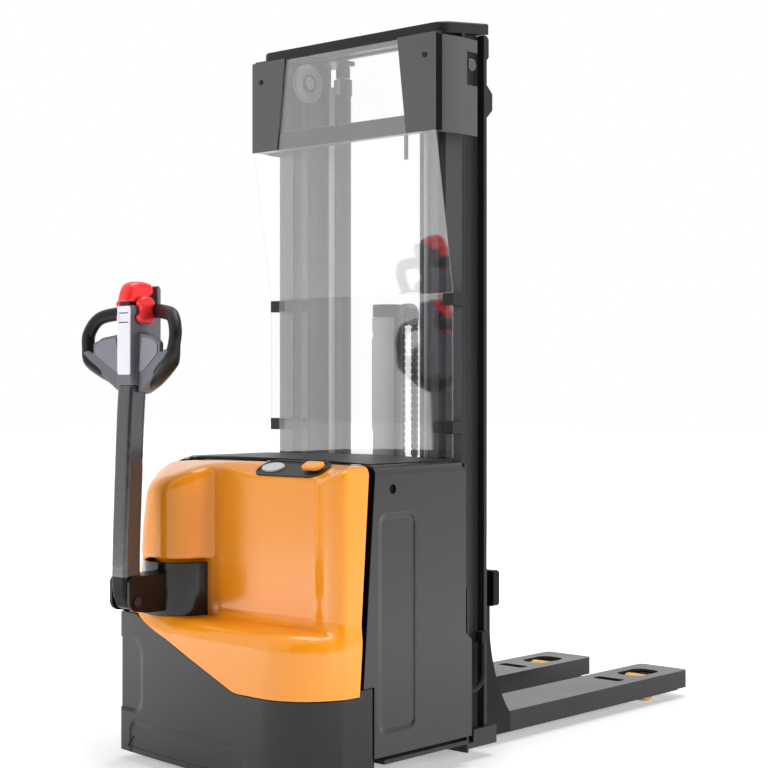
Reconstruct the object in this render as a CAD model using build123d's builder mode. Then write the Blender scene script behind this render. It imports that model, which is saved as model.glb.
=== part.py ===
"""Pedestrian pallet stacker with initial lift.

The drive section stands on a steered drive wheel and a caster. The lift frame with battery, mast and
support legs rises against it on the load wheels, and the mast carries the forks on two stages.
Millimetres, +Z up, +Y towards the fork tips, +X to the truck's right, origin on the floor at mid-length.
"""
from build123d import *
import os
from math import atan2, cos, degrees, radians, sin, sqrt, tan

os.makedirs("parts", exist_ok=True)

# Truck body
body_half_width = 400.0
body_top = 826.0
skirt_bottom = 25.0
shell_wall = 5.0
shell_gap = 2.0
rear_left_y = -850.0
rear_mid = (-81.0, -891.0)
rear_right = (body_half_width - 170, -914.0)
right_corner_y = -785.0
left_corner_radius = 25.0
skirt_left_top = 405.0
skirt_right_top = 247.0
skirt_slope_x = (90 - body_half_width, 130.0)

# Seam between the drive section and the rising lift frame
seam_top_y = -669.0
seam_low_y = -714.0
seam_low_z = 265.0
seam_gap = 19.0
skirt_front_y = -681.0
panel_low_rear_y = -674.0

# Hood
wall_y = -776.0
apron_top = 412.0
column_radius = 118.0
pillar_radius = 48.0
hood_bevel = 9.0
apron_bevel = 18.0
pillar_center = (body_half_width - 48, -742.0)
scoop_x = body_half_width - 230
scoop_width = 250.0
scoop_flare = (260.0, 190.0)
scoop_overrun = 40.0
scoop_front = (-690.0, 830.0)
scoop_rear_z = 786.0
shoulder_point = (290 - body_half_width, -775.0)
shoulder_fall = (0.22, 0.36)

# Steering axis, drive and tiller
axis_x = 175 - body_half_width
axis_y = -760.0
drive_wheel_radius = 105.0
drive_wheel_width = 56.0
axle_radius = 18.0
fit = 0.1
running_gap = 0.3
deck_z = 300.0
deck_thick = 12.0
neck_radius = 70.0
drum_radius = 112.0
drum_bottom = 402.0
drum_top = 555.0
drum_wall = 5.0
pivot_y = -962.0
pivot_z = 458.0
pivot_radius = 8.0
arm_half_width = 29.0
arm_depth = 58.0
arm_bow_y = -977.0
arm_top_y = -944.0
arm_top = 1030.0
head_half_width = 28.0
head_rear_y = -972.0
head_front_y = -868.0
head_top = 1296.0
bow_reach = 203.0
bow_root_y = -879.0
bow_sweep = 21.0
bow_grip = 42.0
bow_depth = 34.0
button_seat = 1242.0
button_travel = 8.0

# Caster
caster_x = body_half_width - 130
caster_y = -793.0
caster_radius = 65.0
caster_width = 44.0
caster_trail = 32.0
caster_pin_radius = 14.0

# Mast
mast_half_width = body_half_width - 46
rail_rear_y = -269.0
rail_depth = 110.0
outer_flange = 14.0
outer_rail_width = 58.0
outer_web = 12.0
rail_bottom = 52.0
outer_rail_top = 2000.0
rail_gap = 2.0
inner_rail_width = 54.0
inner_flange = 12.0
inner_set_in = 5.0
inner_rail_top = outer_rail_top - 10
slide_gap = 0.4
cylinder_x = mast_half_width - 188
cylinder_y = -191.0
cylinder_radius = 24.0
cylinder_top = outer_rail_top - 66
rod_radius = 15.0
free_lift_x = 18.0
free_lift_y = -198.0
free_lift_radius = 43.0
free_lift_top = 1225.0
free_rod_radius = 26.0
cap_height = 30.0
header_half_width = mast_half_width + 4
header_sheet = 4.0
header_rear_y = -383.0
header_front_y = -207.0
header_top = outer_rail_top - 21
header_bottom = header_top - 264
guard_sheet = 4.0
guard_low_y = -308.0
guard_bend_z = header_bottom - 427
guard_bottom = 834.0
pulley_radius = 56.0
pulley_width = 14.0
pulley_x = 128 - mast_half_width
pulley_y = -279.0
pulley_z = outer_rail_top - 80

# Chain
sheave_y = -108.0
sheave_z = 1236.0
sheave_radius = 24.0
chain_thick = 9.0
chain_width = 22.0
chain_anchor_z = 620.0

# Lift frame
foot_plate_thick = 16.0
foot_plate_z = rail_bottom - foot_plate_thick
foot_front_y = -131.0
tray_z = 60.0
tray_thick = 12.0
back_plate_y = -296.0
slide_plate_y = -629.5
slide_plate_thick = 10.0
panel_front_y = -308.0
panel_bottom = 83.0
panel_wall = 6.0
panel_top_radius = 26.0

# Forks, carriage and load wheels
carriage_face_y = -60.0
carriage_plate = 27.0
carriage_half_width = mast_half_width - 34
carriage_bar_z = 405.0
carriage_top = 506.0
carriage_bottom = 84.0
fork_center = 193.0
fork_width = 186.0
fork_length = 1052.0
fork_top = 89.0
fork_sheet = 8.0
fork_heel_bottom = 31.0
fork_tip_bottom = 32.0
gusset_top = 326.0
gusset_foot_y = 30.0
leg_side_gap = 5.0
leg_sheet = 6.0
leg_bottom = 25.0
leg_top_gap = 3.0
load_pivot_y = 654.0
load_pivot_z = 50.0
load_wheel_y = 834.0
load_wheel_radius = 42.0
load_wheel_width = 84.0
load_pin_radius = 9.0


def seam_y(z):
    """Rear edge of the side panels, which leans forward as it rises."""
    lean = (seam_top_y - seam_low_y) / (body_top - seam_low_z)
    return seam_top_y - lean * (body_top - z)


def body_plan(inset):
    """Plan of the drive section drawn in by inset, open-ended past the seam."""
    plan_front = slide_plate_y + inset
    with BuildSketch() as plan:
        with BuildLine():
            rear = ThreePointArc((-body_half_width, rear_left_y), rear_mid, rear_right)
            corner = TangentArc(rear_right, (body_half_width, right_corner_y), tangent=rear % 1)
            Polyline(corner @ 1, (body_half_width, plan_front), (-body_half_width, plan_front), rear @ 0)
        make_face()
        fillet(plan.vertices().group_by(Axis.X)[0].sort_by(Axis.Y)[0], left_corner_radius)
        if inset:
            offset(amount=-inset, kind=Kind.INTERSECTION, mode=Mode.REPLACE)
    return plan.sketch


def hood_plan(inset):
    """Plan of the hood above its apron: rear wall, drum column and corner pillar, drawn in by inset."""
    front = slide_plate_y
    with BuildSketch() as plan:
        with Locations((0, front)):
            Rectangle(2 * (body_half_width - inset), front - wall_y - inset, align=(Align.CENTER, Align.MAX))
        with Locations((axis_x, axis_y)):
            Circle(column_radius - inset)
        with Locations(pillar_center):
            Circle(pillar_radius - inset)
    return plan.sketch


def scoop_z(y):
    """Height of the panel scoop's sloping floor."""
    return scoop_rear_z + (scoop_front[1] - scoop_rear_z) * (y - wall_y) / (scoop_front[0] - wall_y)


def hood_form(inset):
    """Solid of the hood's outside drawn in by inset: apron, wall, panel scoop and the falling left shoulder."""
    shelf = apron_top - inset - apron_bevel
    rim = body_top - inset - hood_bevel
    sky = body_top + 60
    with BuildPart() as form:
        with BuildSketch(Plane.XY.offset(skirt_right_top)):
            add(body_plan(inset))
        extrude(amount=shelf - skirt_right_top)
        with BuildSketch(Plane.XY.offset(shelf)):
            add(body_plan(inset))
        extrude(amount=apron_bevel, taper=45)
        with BuildSketch(Plane.XY.offset(shelf)):
            add(hood_plan(inset))
        extrude(amount=rim - shelf)
        with BuildSketch(Plane.XY.offset(rim)):
            add(hood_plan(inset))
        extrude(amount=hood_bevel, taper=45)
        with BuildSketch():
            add(body_plan(inset))
        extrude(amount=body_top, mode=Mode.INTERSECT)
        for y in (wall_y - scoop_overrun, scoop_front[0]):
            low = scoop_z(y) - inset
            half = scoop_width / 2
            with BuildSketch(Plane.XZ.offset(-y)):
                with BuildLine():
                    Polyline((scoop_x - half - scoop_flare[0], sky), (scoop_x - half, low),
                             (scoop_x + half, low), (scoop_x + half + scoop_flare[1], sky), close=True)
                make_face()
        loft(ruled=True, mode=Mode.SUBTRACT)
        extrude(shoulder_cut(inset), amount=body_top, mode=Mode.SUBTRACT)
    return form.part


def shoulder_cut(inset):
    """Square on the falling plane of the left shoulder, drawn in by inset; what lies above it is cut away."""
    normal = (-shoulder_fall[0], -shoulder_fall[1], 1)
    fall = Plane(origin=(*shoulder_point, body_top), x_dir=(1, 0, shoulder_fall[0]), z_dir=normal)
    with BuildSketch(fall.offset(-inset)) as square:
        Rectangle(4 * body_half_width, 4 * body_half_width)
    return square.sketch


def skirt_edge(shift):
    """Region above the skirt's slanting top edge, moved up by shift, drawn on the X-Z plane."""
    reach = body_half_width + 20
    with BuildSketch(Plane.XZ) as region:
        with BuildLine():
            Polyline((-reach, skirt_left_top + shift), (skirt_slope_x[0], skirt_left_top + shift),
                     (skirt_slope_x[1], skirt_right_top + shift), (reach, skirt_right_top + shift),
                     (reach, body_top + 100), (-reach, body_top + 100), close=True)
        make_face()
    return region.sketch


def seam_front():
    """Everything ahead of the drive section's shells, with the slanting seam and the low step."""
    far = seam_top_y + 200
    top = body_top + 100
    with BuildSketch(Plane.YZ) as region:
        with BuildLine():
            Polyline((far, 0), (skirt_front_y, 0), (skirt_front_y, seam_low_z - shell_gap),
                     (seam_y(seam_low_z) - seam_gap, seam_low_z - shell_gap),
                     (seam_y(top) - seam_gap, top), (far, top), close=True)
        make_face()
    return region.sketch


# Skirt: lower shell of the drive section, with pressed panels low on its rear
skirt_press = 3.0
tab_y = seam_low_y - seam_gap + shell_gap
with BuildPart() as skirt_pressings:
    with BuildSketch(Plane.XY.offset(skirt_bottom)):
        add(body_plan(0))
        add(body_plan(skirt_press), mode=Mode.SUBTRACT)
    extrude(amount=skirt_left_top)
    with BuildSketch(Plane.XZ.offset(-rear_left_y / 2)):
        with Locations((-body_half_width, 238)):
            RectangleRounded(240, 195, 40)
        with BuildLine():
            Polyline((-350, 40), (-320, 72), (120, 72), (150, 40), close=True)
        make_face()
    extrude(amount=body_half_width * 2, mode=Mode.INTERSECT)

with BuildPart() as skirt:
    with BuildSketch(Plane.XY.offset(skirt_bottom)):
        add(body_plan(0))
        add(body_plan(shell_wall), mode=Mode.SUBTRACT)
    extrude(amount=skirt_left_top - skirt_bottom)
    extrude(skirt_edge(0), amount=3 * body_half_width, both=True, mode=Mode.SUBTRACT)
    with BuildSketch(Plane.XY.offset(skirt_right_top - 5)):
        add(body_plan(0))
        add(body_plan(shell_wall), mode=Mode.SUBTRACT)
        with Locations((body_half_width, tab_y)):
            Rectangle(body_half_width, body_half_width, align=(Align.CENTER, Align.MIN), mode=Mode.INTERSECT)
    extrude(amount=seam_low_z - shell_gap - skirt_right_top + 5)
    extrude(seam_front(), amount=2 * body_half_width, both=True, mode=Mode.SUBTRACT)
    add(skirt_pressings.part, mode=Mode.SUBTRACT)
skirt.part.label = "skirt"
export_step(skirt.part, "parts/skirt.step")

# Hood: moulded cover over the drive with a slot where the steering drum turns
slot_low = apron_top - 16
slot_high = drum_top + 5
with BuildPart() as hood:
    add(hood_form(0))
    add(hood_form(shell_wall), mode=Mode.SUBTRACT)
    extrude(skirt_edge(shell_gap), amount=3 * body_half_width, both=True, mode=Mode.INTERSECT)
    extrude(seam_front(), amount=2 * body_half_width, both=True, mode=Mode.SUBTRACT)
    with BuildSketch(Plane.YZ):
        with Locations((tab_y - shell_gap, 0)):
            Rectangle(body_half_width, seam_low_z, align=(Align.MIN, Align.MIN))
    extrude(amount=2 * body_half_width, both=True, mode=Mode.SUBTRACT)
    with BuildSketch(Plane.XY.offset(slot_low)):
        with Locations((axis_x, axis_y)):
            Circle(column_radius + 2)
        with Locations((axis_x, wall_y)):
            Rectangle(3 * column_radius, 3 * column_radius, align=(Align.CENTER, Align.MAX), mode=Mode.INTERSECT)
    extrude(amount=slot_high - slot_low, mode=Mode.SUBTRACT)
hood.part.label = "hood"
export_step(hood.part, "parts/hood.step")

# Operator panel in the scoop, with its display lens and the stop button
scoop_tilt = degrees(atan2(scoop_front[1] - scoop_rear_z, scoop_front[0] - wall_y))
panel_y = (wall_y + scoop_front[0]) / 2
panel_plane = Plane(origin=(scoop_x, panel_y, scoop_z(panel_y)), x_dir=(1, 0, 0),
                    z_dir=Vector(0, 0, 1).rotate(Axis.X, scoop_tilt))
panel_size = (scoop_width - 6, 80.0)
panel_thick = 9.0
panel_dish = 3.0
panel_floor = panel_thick - panel_dish
display_x = 53 - scoop_width / 2
stop_x = scoop_width / 2 - 47
stop_stem_radius = 7.0
stop_travel = 5.0
with BuildPart() as control_panel:
    with BuildSketch(panel_plane):
        RectangleRounded(*panel_size, 36)
    extrude(amount=panel_thick)
    with BuildSketch(panel_plane.offset(panel_floor)):
        RectangleRounded(panel_size[0] - 14, panel_size[1] - 14, 29)
    extrude(amount=panel_dish, mode=Mode.SUBTRACT)
    with BuildSketch(panel_plane):
        with Locations((stop_x, 0)):
            Circle(stop_stem_radius + fit)
    extrude(amount=panel_thick, mode=Mode.SUBTRACT)
control_panel.part.label = "control_panel"
export_step(control_panel.part, "parts/control_panel.step")

with BuildPart() as display_lens:
    with BuildSketch(panel_plane.offset(panel_floor)):
        with Locations((display_x, 0)):
            Ellipse(38, 22)
    extrude(amount=5)
    fillet(display_lens.faces().sort_by(Axis.Z)[-1].edges(), 2)
display_lens.part.label = "display_lens"
export_step(display_lens.part, "parts/display_lens.step")

stop_cap_low = panel_floor + stop_travel + running_gap
with BuildPart() as stop_button:
    with BuildSketch(panel_plane.offset(stop_cap_low)):
        with Locations((stop_x, 0)):
            RectangleRounded(64, 34, 12)
    extrude(amount=12)
    fillet(stop_button.faces().sort_by(Axis.Z)[-1].edges(), 4)
    with BuildSketch(panel_plane.offset(stop_travel + running_gap)):
        with Locations((stop_x, 0)):
            Circle(stop_stem_radius)
    extrude(amount=panel_floor)
stop_button.part.label = "stop_button"
export_step(stop_button.part, "parts/stop_button.step")

# Chassis of the drive section: slide plate for the lift frame, deck with the slewing seat, caster post
chassis_plate_half = body_half_width - 40
chassis_plate_z = (40.0, 500.0)
chassis_plate_rear = slide_plate_y - 0.5 - slide_plate_thick
deck_rear_y = -840.0
caster_post_radius = 32.0
caster_plate_top = 172.0
with BuildPart() as chassis_frame:
    with BuildSketch(Plane.XY.offset(chassis_plate_z[0])):
        with Locations((0, chassis_plate_rear + slide_plate_thick / 2)):
            Rectangle(2 * chassis_plate_half, slide_plate_thick)
    extrude(amount=chassis_plate_z[1] - chassis_plate_z[0])
    with BuildSketch(Plane.XY.offset(deck_z)):
        add(body_plan(3 * shell_wall))
        with Locations((0, deck_rear_y)):
            Rectangle(3 * body_half_width, chassis_plate_rear - deck_rear_y, align=(Align.CENTER, Align.MIN),
                      mode=Mode.INTERSECT)
        with Locations((0, seam_y(deck_z) - seam_gap)):
            Rectangle(2 * (body_half_width - shell_wall), 25, align=(Align.CENTER, Align.MAX))
    extrude(amount=deck_thick)
    with BuildSketch(Plane.XY.offset(caster_plate_top + running_gap)):
        with Locations((caster_x, caster_y)):
            Circle(caster_post_radius)
    extrude(until=Until.NEXT)
    with BuildSketch(Plane.XY.offset(deck_z)):
        with Locations((axis_x, axis_y)):
            Circle(neck_radius + running_gap)
    extrude(amount=deck_thick, mode=Mode.SUBTRACT)
    with BuildSketch(Plane.XY.offset(caster_plate_top)):
        with Locations((caster_x, caster_y)):
            Circle(caster_pin_radius + fit)
    extrude(amount=deck_z - caster_plate_top, mode=Mode.SUBTRACT)
chassis_frame.part.label = "chassis_frame"
export_step(chassis_frame.part, "parts/chassis_frame.step")

# Hydraulic power unit on the deck: tank, pump block and pump motor
deck_top = deck_z + deck_thick
tank_size = (240.0, 58.0, 210.0)
tank_center = (body_half_width - 195, -735.0)
with BuildPart() as hydraulic_unit:
    with BuildSketch(Plane.XY.offset(deck_top)):
        with Locations(tank_center):
            RectangleRounded(tank_size[0], tank_size[1], 12)
    extrude(amount=tank_size[2])
    with BuildSketch(Plane.XY.offset(deck_top + tank_size[2])):
        with Locations((tank_center[0] - 60, tank_center[1])):
            Rectangle(80, 56)
    extrude(amount=50)
    with BuildSketch(Plane.XY.offset(deck_top + tank_size[2] + 50)):
        with Locations((tank_center[0] - 60, tank_center[1])):
            Circle(28)
    extrude(amount=120)
    with BuildSketch(Plane.XY.offset(deck_top + tank_size[2])):
        with Locations((tank_center[0] + 80, tank_center[1])):
            Circle(18)
    extrude(amount=22)
hydraulic_unit.part.label = "hydraulic_unit"
export_step(hydraulic_unit.part, "parts/hydraulic_unit.step")

# Initial-lift cylinder: barrel on the deck, rod pushing the lift frame up
initial_x = -20.0
initial_y = -735.0
initial_barrel_radius = 30.0
initial_rod_radius = 20.0
initial_barrel_top = 520.0
initial_rod_z = (360.0, 560.0)
with BuildPart() as initial_lift_cylinder:
    with BuildSketch(Plane.XY.offset(deck_top)):
        with Locations((initial_x, initial_y)):
            Circle(initial_barrel_radius)
    extrude(amount=initial_barrel_top - deck_top)
    with BuildSketch(Plane.XY.offset(initial_barrel_top - 18)):
        with Locations((initial_x, initial_y)):
            Circle(initial_barrel_radius + 4)
    extrude(amount=18)
    with BuildSketch(Plane.XY.offset(deck_top + 20)):
        with Locations((initial_x, initial_y)):
            Circle(initial_rod_radius + fit)
    extrude(amount=initial_barrel_top, mode=Mode.SUBTRACT)
initial_lift_cylinder.part.label = "initial_lift_cylinder"
export_step(initial_lift_cylinder.part, "parts/initial_lift_cylinder.step")

with BuildPart() as initial_lift_rod:
    with BuildSketch(Plane.XY.offset(initial_rod_z[0])):
        with Locations((initial_x, initial_y)):
            Circle(initial_rod_radius)
    extrude(amount=initial_rod_z[1] - initial_rod_z[0])
initial_lift_rod.part.label = "initial_lift_rod"
export_step(initial_lift_rod.part, "parts/initial_lift_rod.step")

# Drive unit: gearbox leg beside the wheel, slewing flange and neck through the deck, axle stub
gear_leg = (drive_wheel_width / 2 + 4, 46.0, 96.0)
flange_radius = 98.0
flange_low = 2 * drive_wheel_radius + 12
with BuildPart() as drive_unit:
    with BuildSketch(Plane.XY.offset(flange_low)):
        with Locations((axis_x, axis_y)):
            Circle(flange_radius)
    extrude(amount=deck_z - running_gap - flange_low)
    with BuildSketch(Plane.XY.offset(flange_low)):
        with Locations((axis_x, axis_y)):
            Circle(neck_radius)
    extrude(amount=deck_top + 2 - flange_low)
    with BuildSketch(Plane.YZ.offset(axis_x + gear_leg[0])):
        with BuildLine():
            half = gear_leg[2] / 2
            Polyline((axis_y - half, flange_low + 5), (axis_y - half, drive_wheel_radius))
            arc = ThreePointArc((axis_y - half, drive_wheel_radius), (axis_y, drive_wheel_radius - half),
                                (axis_y + half, drive_wheel_radius))
            Polyline(arc @ 1, (axis_y + half, flange_low + 5), (axis_y - half, flange_low + 5))
        make_face()
    extrude(amount=gear_leg[1])
    with BuildSketch(Plane.YZ.offset(axis_x - drive_wheel_width / 2)):
        with Locations((axis_y, drive_wheel_radius)):
            Circle(axle_radius)
    extrude(amount=drive_wheel_width + gear_leg[1])
drive_unit.part.label = "drive_unit"
export_step(drive_unit.part, "parts/drive_unit.step")

with BuildPart() as drive_motor:
    with BuildSketch(Plane.XY.offset(deck_top + 2)):
        with Locations((axis_x, axis_y)):
            Circle(neck_radius + 2)
    extrude(amount=drum_bottom - deck_top - 2)
    with BuildSketch(Plane.XY.offset(deck_top + 24)):
        with Locations((axis_x, axis_y)):
            with PolarLocations(neck_radius + 2, 18):
                Rectangle(8, 5)
    extrude(amount=drum_bottom - deck_top - 40)
drive_motor.part.label = "drive_motor"
export_step(drive_motor.part, "parts/drive_motor.step")

with BuildPart() as steering_drum:
    with BuildSketch(Plane.XY.offset(drum_bottom)):
        with Locations((axis_x, axis_y)):
            Circle(drum_radius)
    extrude(amount=drum_top - drum_bottom)
    with BuildSketch(Plane.XY.offset(drum_bottom + 8)):
        with Locations((axis_x, axis_y)):
            Circle(drum_radius - drum_wall)
    extrude(amount=drum_top, mode=Mode.SUBTRACT)
steering_drum.part.label = "steering_drum"
export_step(steering_drum.part, "parts/steering_drum.step")

with BuildPart() as drive_wheel:
    with BuildSketch(Plane.XY):
        with BuildLine():
            half = drive_wheel_width / 2
            tread = Polyline((axle_radius + fit, -half + 4), (axle_radius + 20, -half + 4),
                             (axle_radius + 26, -half + 14), (drive_wheel_radius - 26, -half + 14),
                             (drive_wheel_radius - 20, -half), (drive_wheel_radius - 5, -half),
                             (drive_wheel_radius, -half + 5), (drive_wheel_radius, 0))
            mirror(tread, about=Plane.XZ)
            Line((axle_radius + fit, -half + 4), (axle_radius + fit, half - 4))
        make_face()
    revolve(axis=Axis.Y)
drive_wheel.part = Location((axis_x, axis_y, drive_wheel_radius), (0, 0, -90)) * drive_wheel.part
drive_wheel.part.label = "drive_wheel"
export_step(drive_wheel.part, "parts/drive_wheel.step")

# Tiller bracket seated on the drum's rear, with the tilt pin
cheek_inner = arm_half_width + 2
cheek_thick = 10.0
cheek_radius = 26.0
bracket_low = apron_top + 14
bracket_high = 526.0
bracket_rear_y = pivot_y + arm_depth / 2 + 6
with BuildPart() as tiller_bracket:
    with BuildSketch(Plane.XY.offset(bracket_low)):
        with Locations((axis_x, bracket_rear_y)):
            Rectangle(2 * (cheek_inner + cheek_thick), axis_y - bracket_rear_y, align=(Align.CENTER, Align.MIN))
    extrude(amount=bracket_high - bracket_low)
    with BuildSketch(Plane.XY.offset(bracket_low)):
        with Locations((axis_x, axis_y)):
            Circle(drum_radius)
    extrude(amount=bracket_high, mode=Mode.SUBTRACT)
    for side in (-1, 1):
        start = axis_x + side * (cheek_inner + cheek_thick / 2)
        with BuildSketch(Plane.YZ.offset(start)):
            with BuildLine():
                Polyline((pivot_y - cheek_radius, pivot_z), (pivot_y - cheek_radius, bracket_high - 14),
                         (pivot_y - cheek_radius + 10, bracket_high), (bracket_rear_y, bracket_high),
                         (bracket_rear_y, bracket_low), (pivot_y, pivot_z - cheek_radius))
                RadiusArc((pivot_y, pivot_z - cheek_radius), (pivot_y - cheek_radius, pivot_z), cheek_radius)
            make_face()
            with Locations((pivot_y, pivot_z)):
                Circle(pivot_radius + fit, mode=Mode.SUBTRACT)
        extrude(amount=cheek_thick / 2, both=True)
tiller_bracket.part.label = "tiller_bracket"
export_step(tiller_bracket.part, "parts/tiller_bracket.step")

pin_half = cheek_inner + cheek_thick + 5
with BuildPart() as tiller_pin:
    with BuildSketch(Plane.YZ.offset(axis_x)):
        with Locations((pivot_y, pivot_z)):
            Circle(pivot_radius)
    extrude(amount=pin_half, both=True)
    for side in (-1, 1):
        with BuildSketch(Plane.YZ.offset(axis_x + side * (pin_half - 2))):
            with Locations((pivot_y, pivot_z)):
                Circle(pivot_radius + 5)
        extrude(amount=2, both=True)
tiller_pin.part.label = "tiller_pin"
export_step(tiller_pin.part, "parts/tiller_pin.step")

# Tiller arm: bowed beam with rounded edges and an eye on the pin
arm_mid_z = (pivot_z + arm_top) / 2
arm_eye_radius = 22.0
with BuildPart() as tiller_arm:
    with BuildSketch(Plane.YZ.offset(axis_x)):
        with BuildLine():
            half = arm_depth / 2
            rear = ThreePointArc((pivot_y - half, pivot_z + 12), (arm_bow_y - half, arm_mid_z),
                                 (arm_top_y - half, arm_top))
            front = ThreePointArc((pivot_y + half, pivot_z + 12), (arm_bow_y + half, arm_mid_z),
                                  (arm_top_y + half, arm_top))
            Line(rear @ 1, front @ 1)
            Line(rear @ 0, (pivot_y - arm_eye_radius, pivot_z))
            ThreePointArc((pivot_y - arm_eye_radius, pivot_z), (pivot_y, pivot_z - arm_eye_radius),
                          (pivot_y + arm_eye_radius, pivot_z))
            Line((pivot_y + arm_eye_radius, pivot_z), front @ 0)
        make_face()
    extrude(amount=arm_half_width, both=True)
    fillet(tiller_arm.edges().filter_by(GeomType.CIRCLE).filter_by(lambda edge: edge.length > 300), 9)
    with BuildSketch(Plane.YZ.offset(axis_x)):
        with Locations((pivot_y, pivot_z)):
            Circle(pivot_radius + fit)
    extrude(amount=arm_half_width, both=True, mode=Mode.SUBTRACT)
tiller_arm.part.label = "tiller_arm"
export_step(tiller_arm.part, "parts/tiller_arm.step")

# Tiller head: housing deep enough for the switches, with lower wings that close the hand bows
throttle_y = -934.0
throttle_z = 1228.0
throttle_shaft = 9.0
button_stem = 8.0
button_y = -958.0
button_rear_y = -984.0
button_front_y = -884.0
rocker_y = head_rear_y + 4
rocker_z = 1209.0
rocker_half = (20.0, 14.0)
rocker_recess = 8.0
rocker_pin = 3.0
arm_rear_y = arm_top_y - arm_depth / 2
arm_front_y = arm_top_y + arm_depth / 2
bow_low = arm_top - 18
wing_root = (20.0, -950.0)
wing_end = (176.0, -973.0)
wing_front_y = bow_root_y - 22


def bow_point(side, reach):
    """Plan point where the wings meet a hand bow, at a distance reach from the head's middle; side is -1 or 1."""
    return axis_x + side * reach, wing_front_y - reach * tan(radians(bow_sweep))


with BuildPart() as wings:
    for side in (-1, 1):
        with BuildSketch(Plane.XY.offset(bow_low)):
            with BuildLine():
                Polyline((axis_x + side * wing_root[0], wing_root[1]), (axis_x + side * wing_end[0], wing_end[1]),
                         bow_point(side, wing_end[0]), bow_point(side, wing_root[0]), close=True)
            make_face()
        extrude(amount=button_seat - bow_low)
    with BuildSketch(Plane.XZ):
        for side in (-1, 1):
            for shape in (((10, 0), (46, 0), (166, 84), (176, 108), (156, 112), (58, 46), (10, 46)),
                          ((10, 46), (58, 46), (138, 94), (138, 130), (104, 146), (10, 160))):
                with BuildLine():
                    Polyline(*[(axis_x + side * across, bow_low + up) for across, up in shape], close=True)
                make_face()
    extrude(amount=-2 * head_rear_y, both=True, mode=Mode.INTERSECT)

with BuildPart() as tiller_head:
    with BuildSketch(Plane.YZ.offset(axis_x)):
        with BuildLine():
            Polyline((arm_rear_y, arm_top), (head_rear_y, button_seat), (button_front_y + 3, button_seat),
                     (button_front_y + 3, head_top), (head_front_y - 6, head_top), (head_front_y, head_top - 10),
                     (head_front_y, arm_top + 90), (arm_front_y, arm_top), close=True)
        make_face()
    extrude(amount=head_half_width, both=True)
    with BuildSketch(Plane.XY.offset(arm_top)):
        with Locations((axis_x, arm_top_y)):
            Rectangle(2 * head_half_width, arm_depth)
    extrude(amount=60)
    add(wings.part)
    with BuildSketch(Plane.XY.offset(bow_low)):
        with Locations((axis_x, arm_front_y)):
            Rectangle(2 * arm_half_width, 2 * arm_depth, align=(Align.CENTER, Align.MAX))
    extrude(amount=arm_top - bow_low, mode=Mode.SUBTRACT)
    with BuildSketch(Plane.YZ.offset(axis_x)):
        with Locations((throttle_y, throttle_z)):
            Circle(throttle_shaft + fit)
    extrude(amount=2 * head_half_width, both=True, mode=Mode.SUBTRACT)
    with BuildSketch(Plane.XY.offset(button_seat)):
        with Locations((axis_x, button_y)):
            Circle(button_stem + fit)
    extrude(amount=-(button_travel + 2), mode=Mode.SUBTRACT)
    with BuildSketch(Plane.XZ.offset(-head_rear_y + 5)):
        with Locations((axis_x, rocker_z)):
            Rectangle(2 * rocker_half[0] + 1, 2 * rocker_half[1])
    extrude(amount=-rocker_recess - 5, mode=Mode.SUBTRACT)
    with BuildSketch(Plane.YZ.offset(axis_x)):
        with Locations((rocker_y, rocker_z)):
            Circle(rocker_pin + fit)
    extrude(amount=rocker_half[0] + 5, both=True, mode=Mode.SUBTRACT)
tiller_head.part.label = "tiller_head"
export_step(tiller_head.part, "parts/tiller_head.step")

# Hand bows: moulded grips swept back on both sides, joined by a block ahead of the arm's top
bow_round = 40.0
bow_lean = 0.11
bow_foot = bow_low - button_seat
paddle_thick = 24.0
paddle_sweep = 43.0
with BuildPart() as tiller_bows:
    for side in (-1, 1):
        swing = radians(bow_sweep)
        outward = Vector(side * cos(swing), -sin(swing), 0)
        grip_plane = Plane(origin=(axis_x, bow_root_y, button_seat), x_dir=outward,
                           z_dir=outward.cross(Vector(0, bow_lean, 1)))
        with BuildSketch(grip_plane) as bow:
            with BuildLine():
                Polyline((22, bow_foot), (bow_reach - 155, bow_foot), (bow_reach, bow_foot + 100),
                         (bow_reach, -44), (bow_reach - 75, 0), (22, 0), close=True)
            make_face()
            fillet(bow.vertices().filter_by(lambda corner: corner.X > bow_reach / 2), bow_round)
            with BuildLine():
                hole = bow_reach - bow_grip
                Polyline((-40, bow_foot + 46), (hole - 99, bow_foot + 46), (hole, bow_foot + 116),
                         (hole, -60), (hole - 45, -bow_grip), (-40, -bow_grip), close=True)
            make_face(mode=Mode.SUBTRACT)
        extrude(amount=bow_depth / 2, both=True)
    with BuildSketch(Plane.XY.offset(bow_low)):
        with Locations((axis_x, arm_front_y)):
            Rectangle(72, 22, align=(Align.CENTER, Align.MIN))
    extrude(amount=46)
    with BuildSketch(Plane.XY.offset(bow_low)):
        with Locations((axis_x, arm_front_y)):
            Rectangle(2 * arm_half_width, 4 * arm_depth, align=(Align.CENTER, Align.MAX))
    extrude(amount=arm_top - bow_low, mode=Mode.SUBTRACT)
    with BuildSketch(Plane.YZ.offset(axis_x)):
        with Locations((throttle_y, throttle_z)):
            Circle(paddle_sweep)
    extrude(amount=head_half_width + paddle_thick + 3, both=True, mode=Mode.SUBTRACT)
    with BuildSketch(Plane.XY.offset(button_seat)):
        with Locations((axis_x, button_y)):
            Rectangle(2 * (head_half_width + running_gap), 4 * arm_depth)
    extrude(amount=bow_depth, mode=Mode.SUBTRACT)
    add(tiller_head.part, mode=Mode.SUBTRACT)
tiller_bows.part.label = "tiller_bows"
export_step(tiller_bows.part, "parts/tiller_bows.step")

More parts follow.
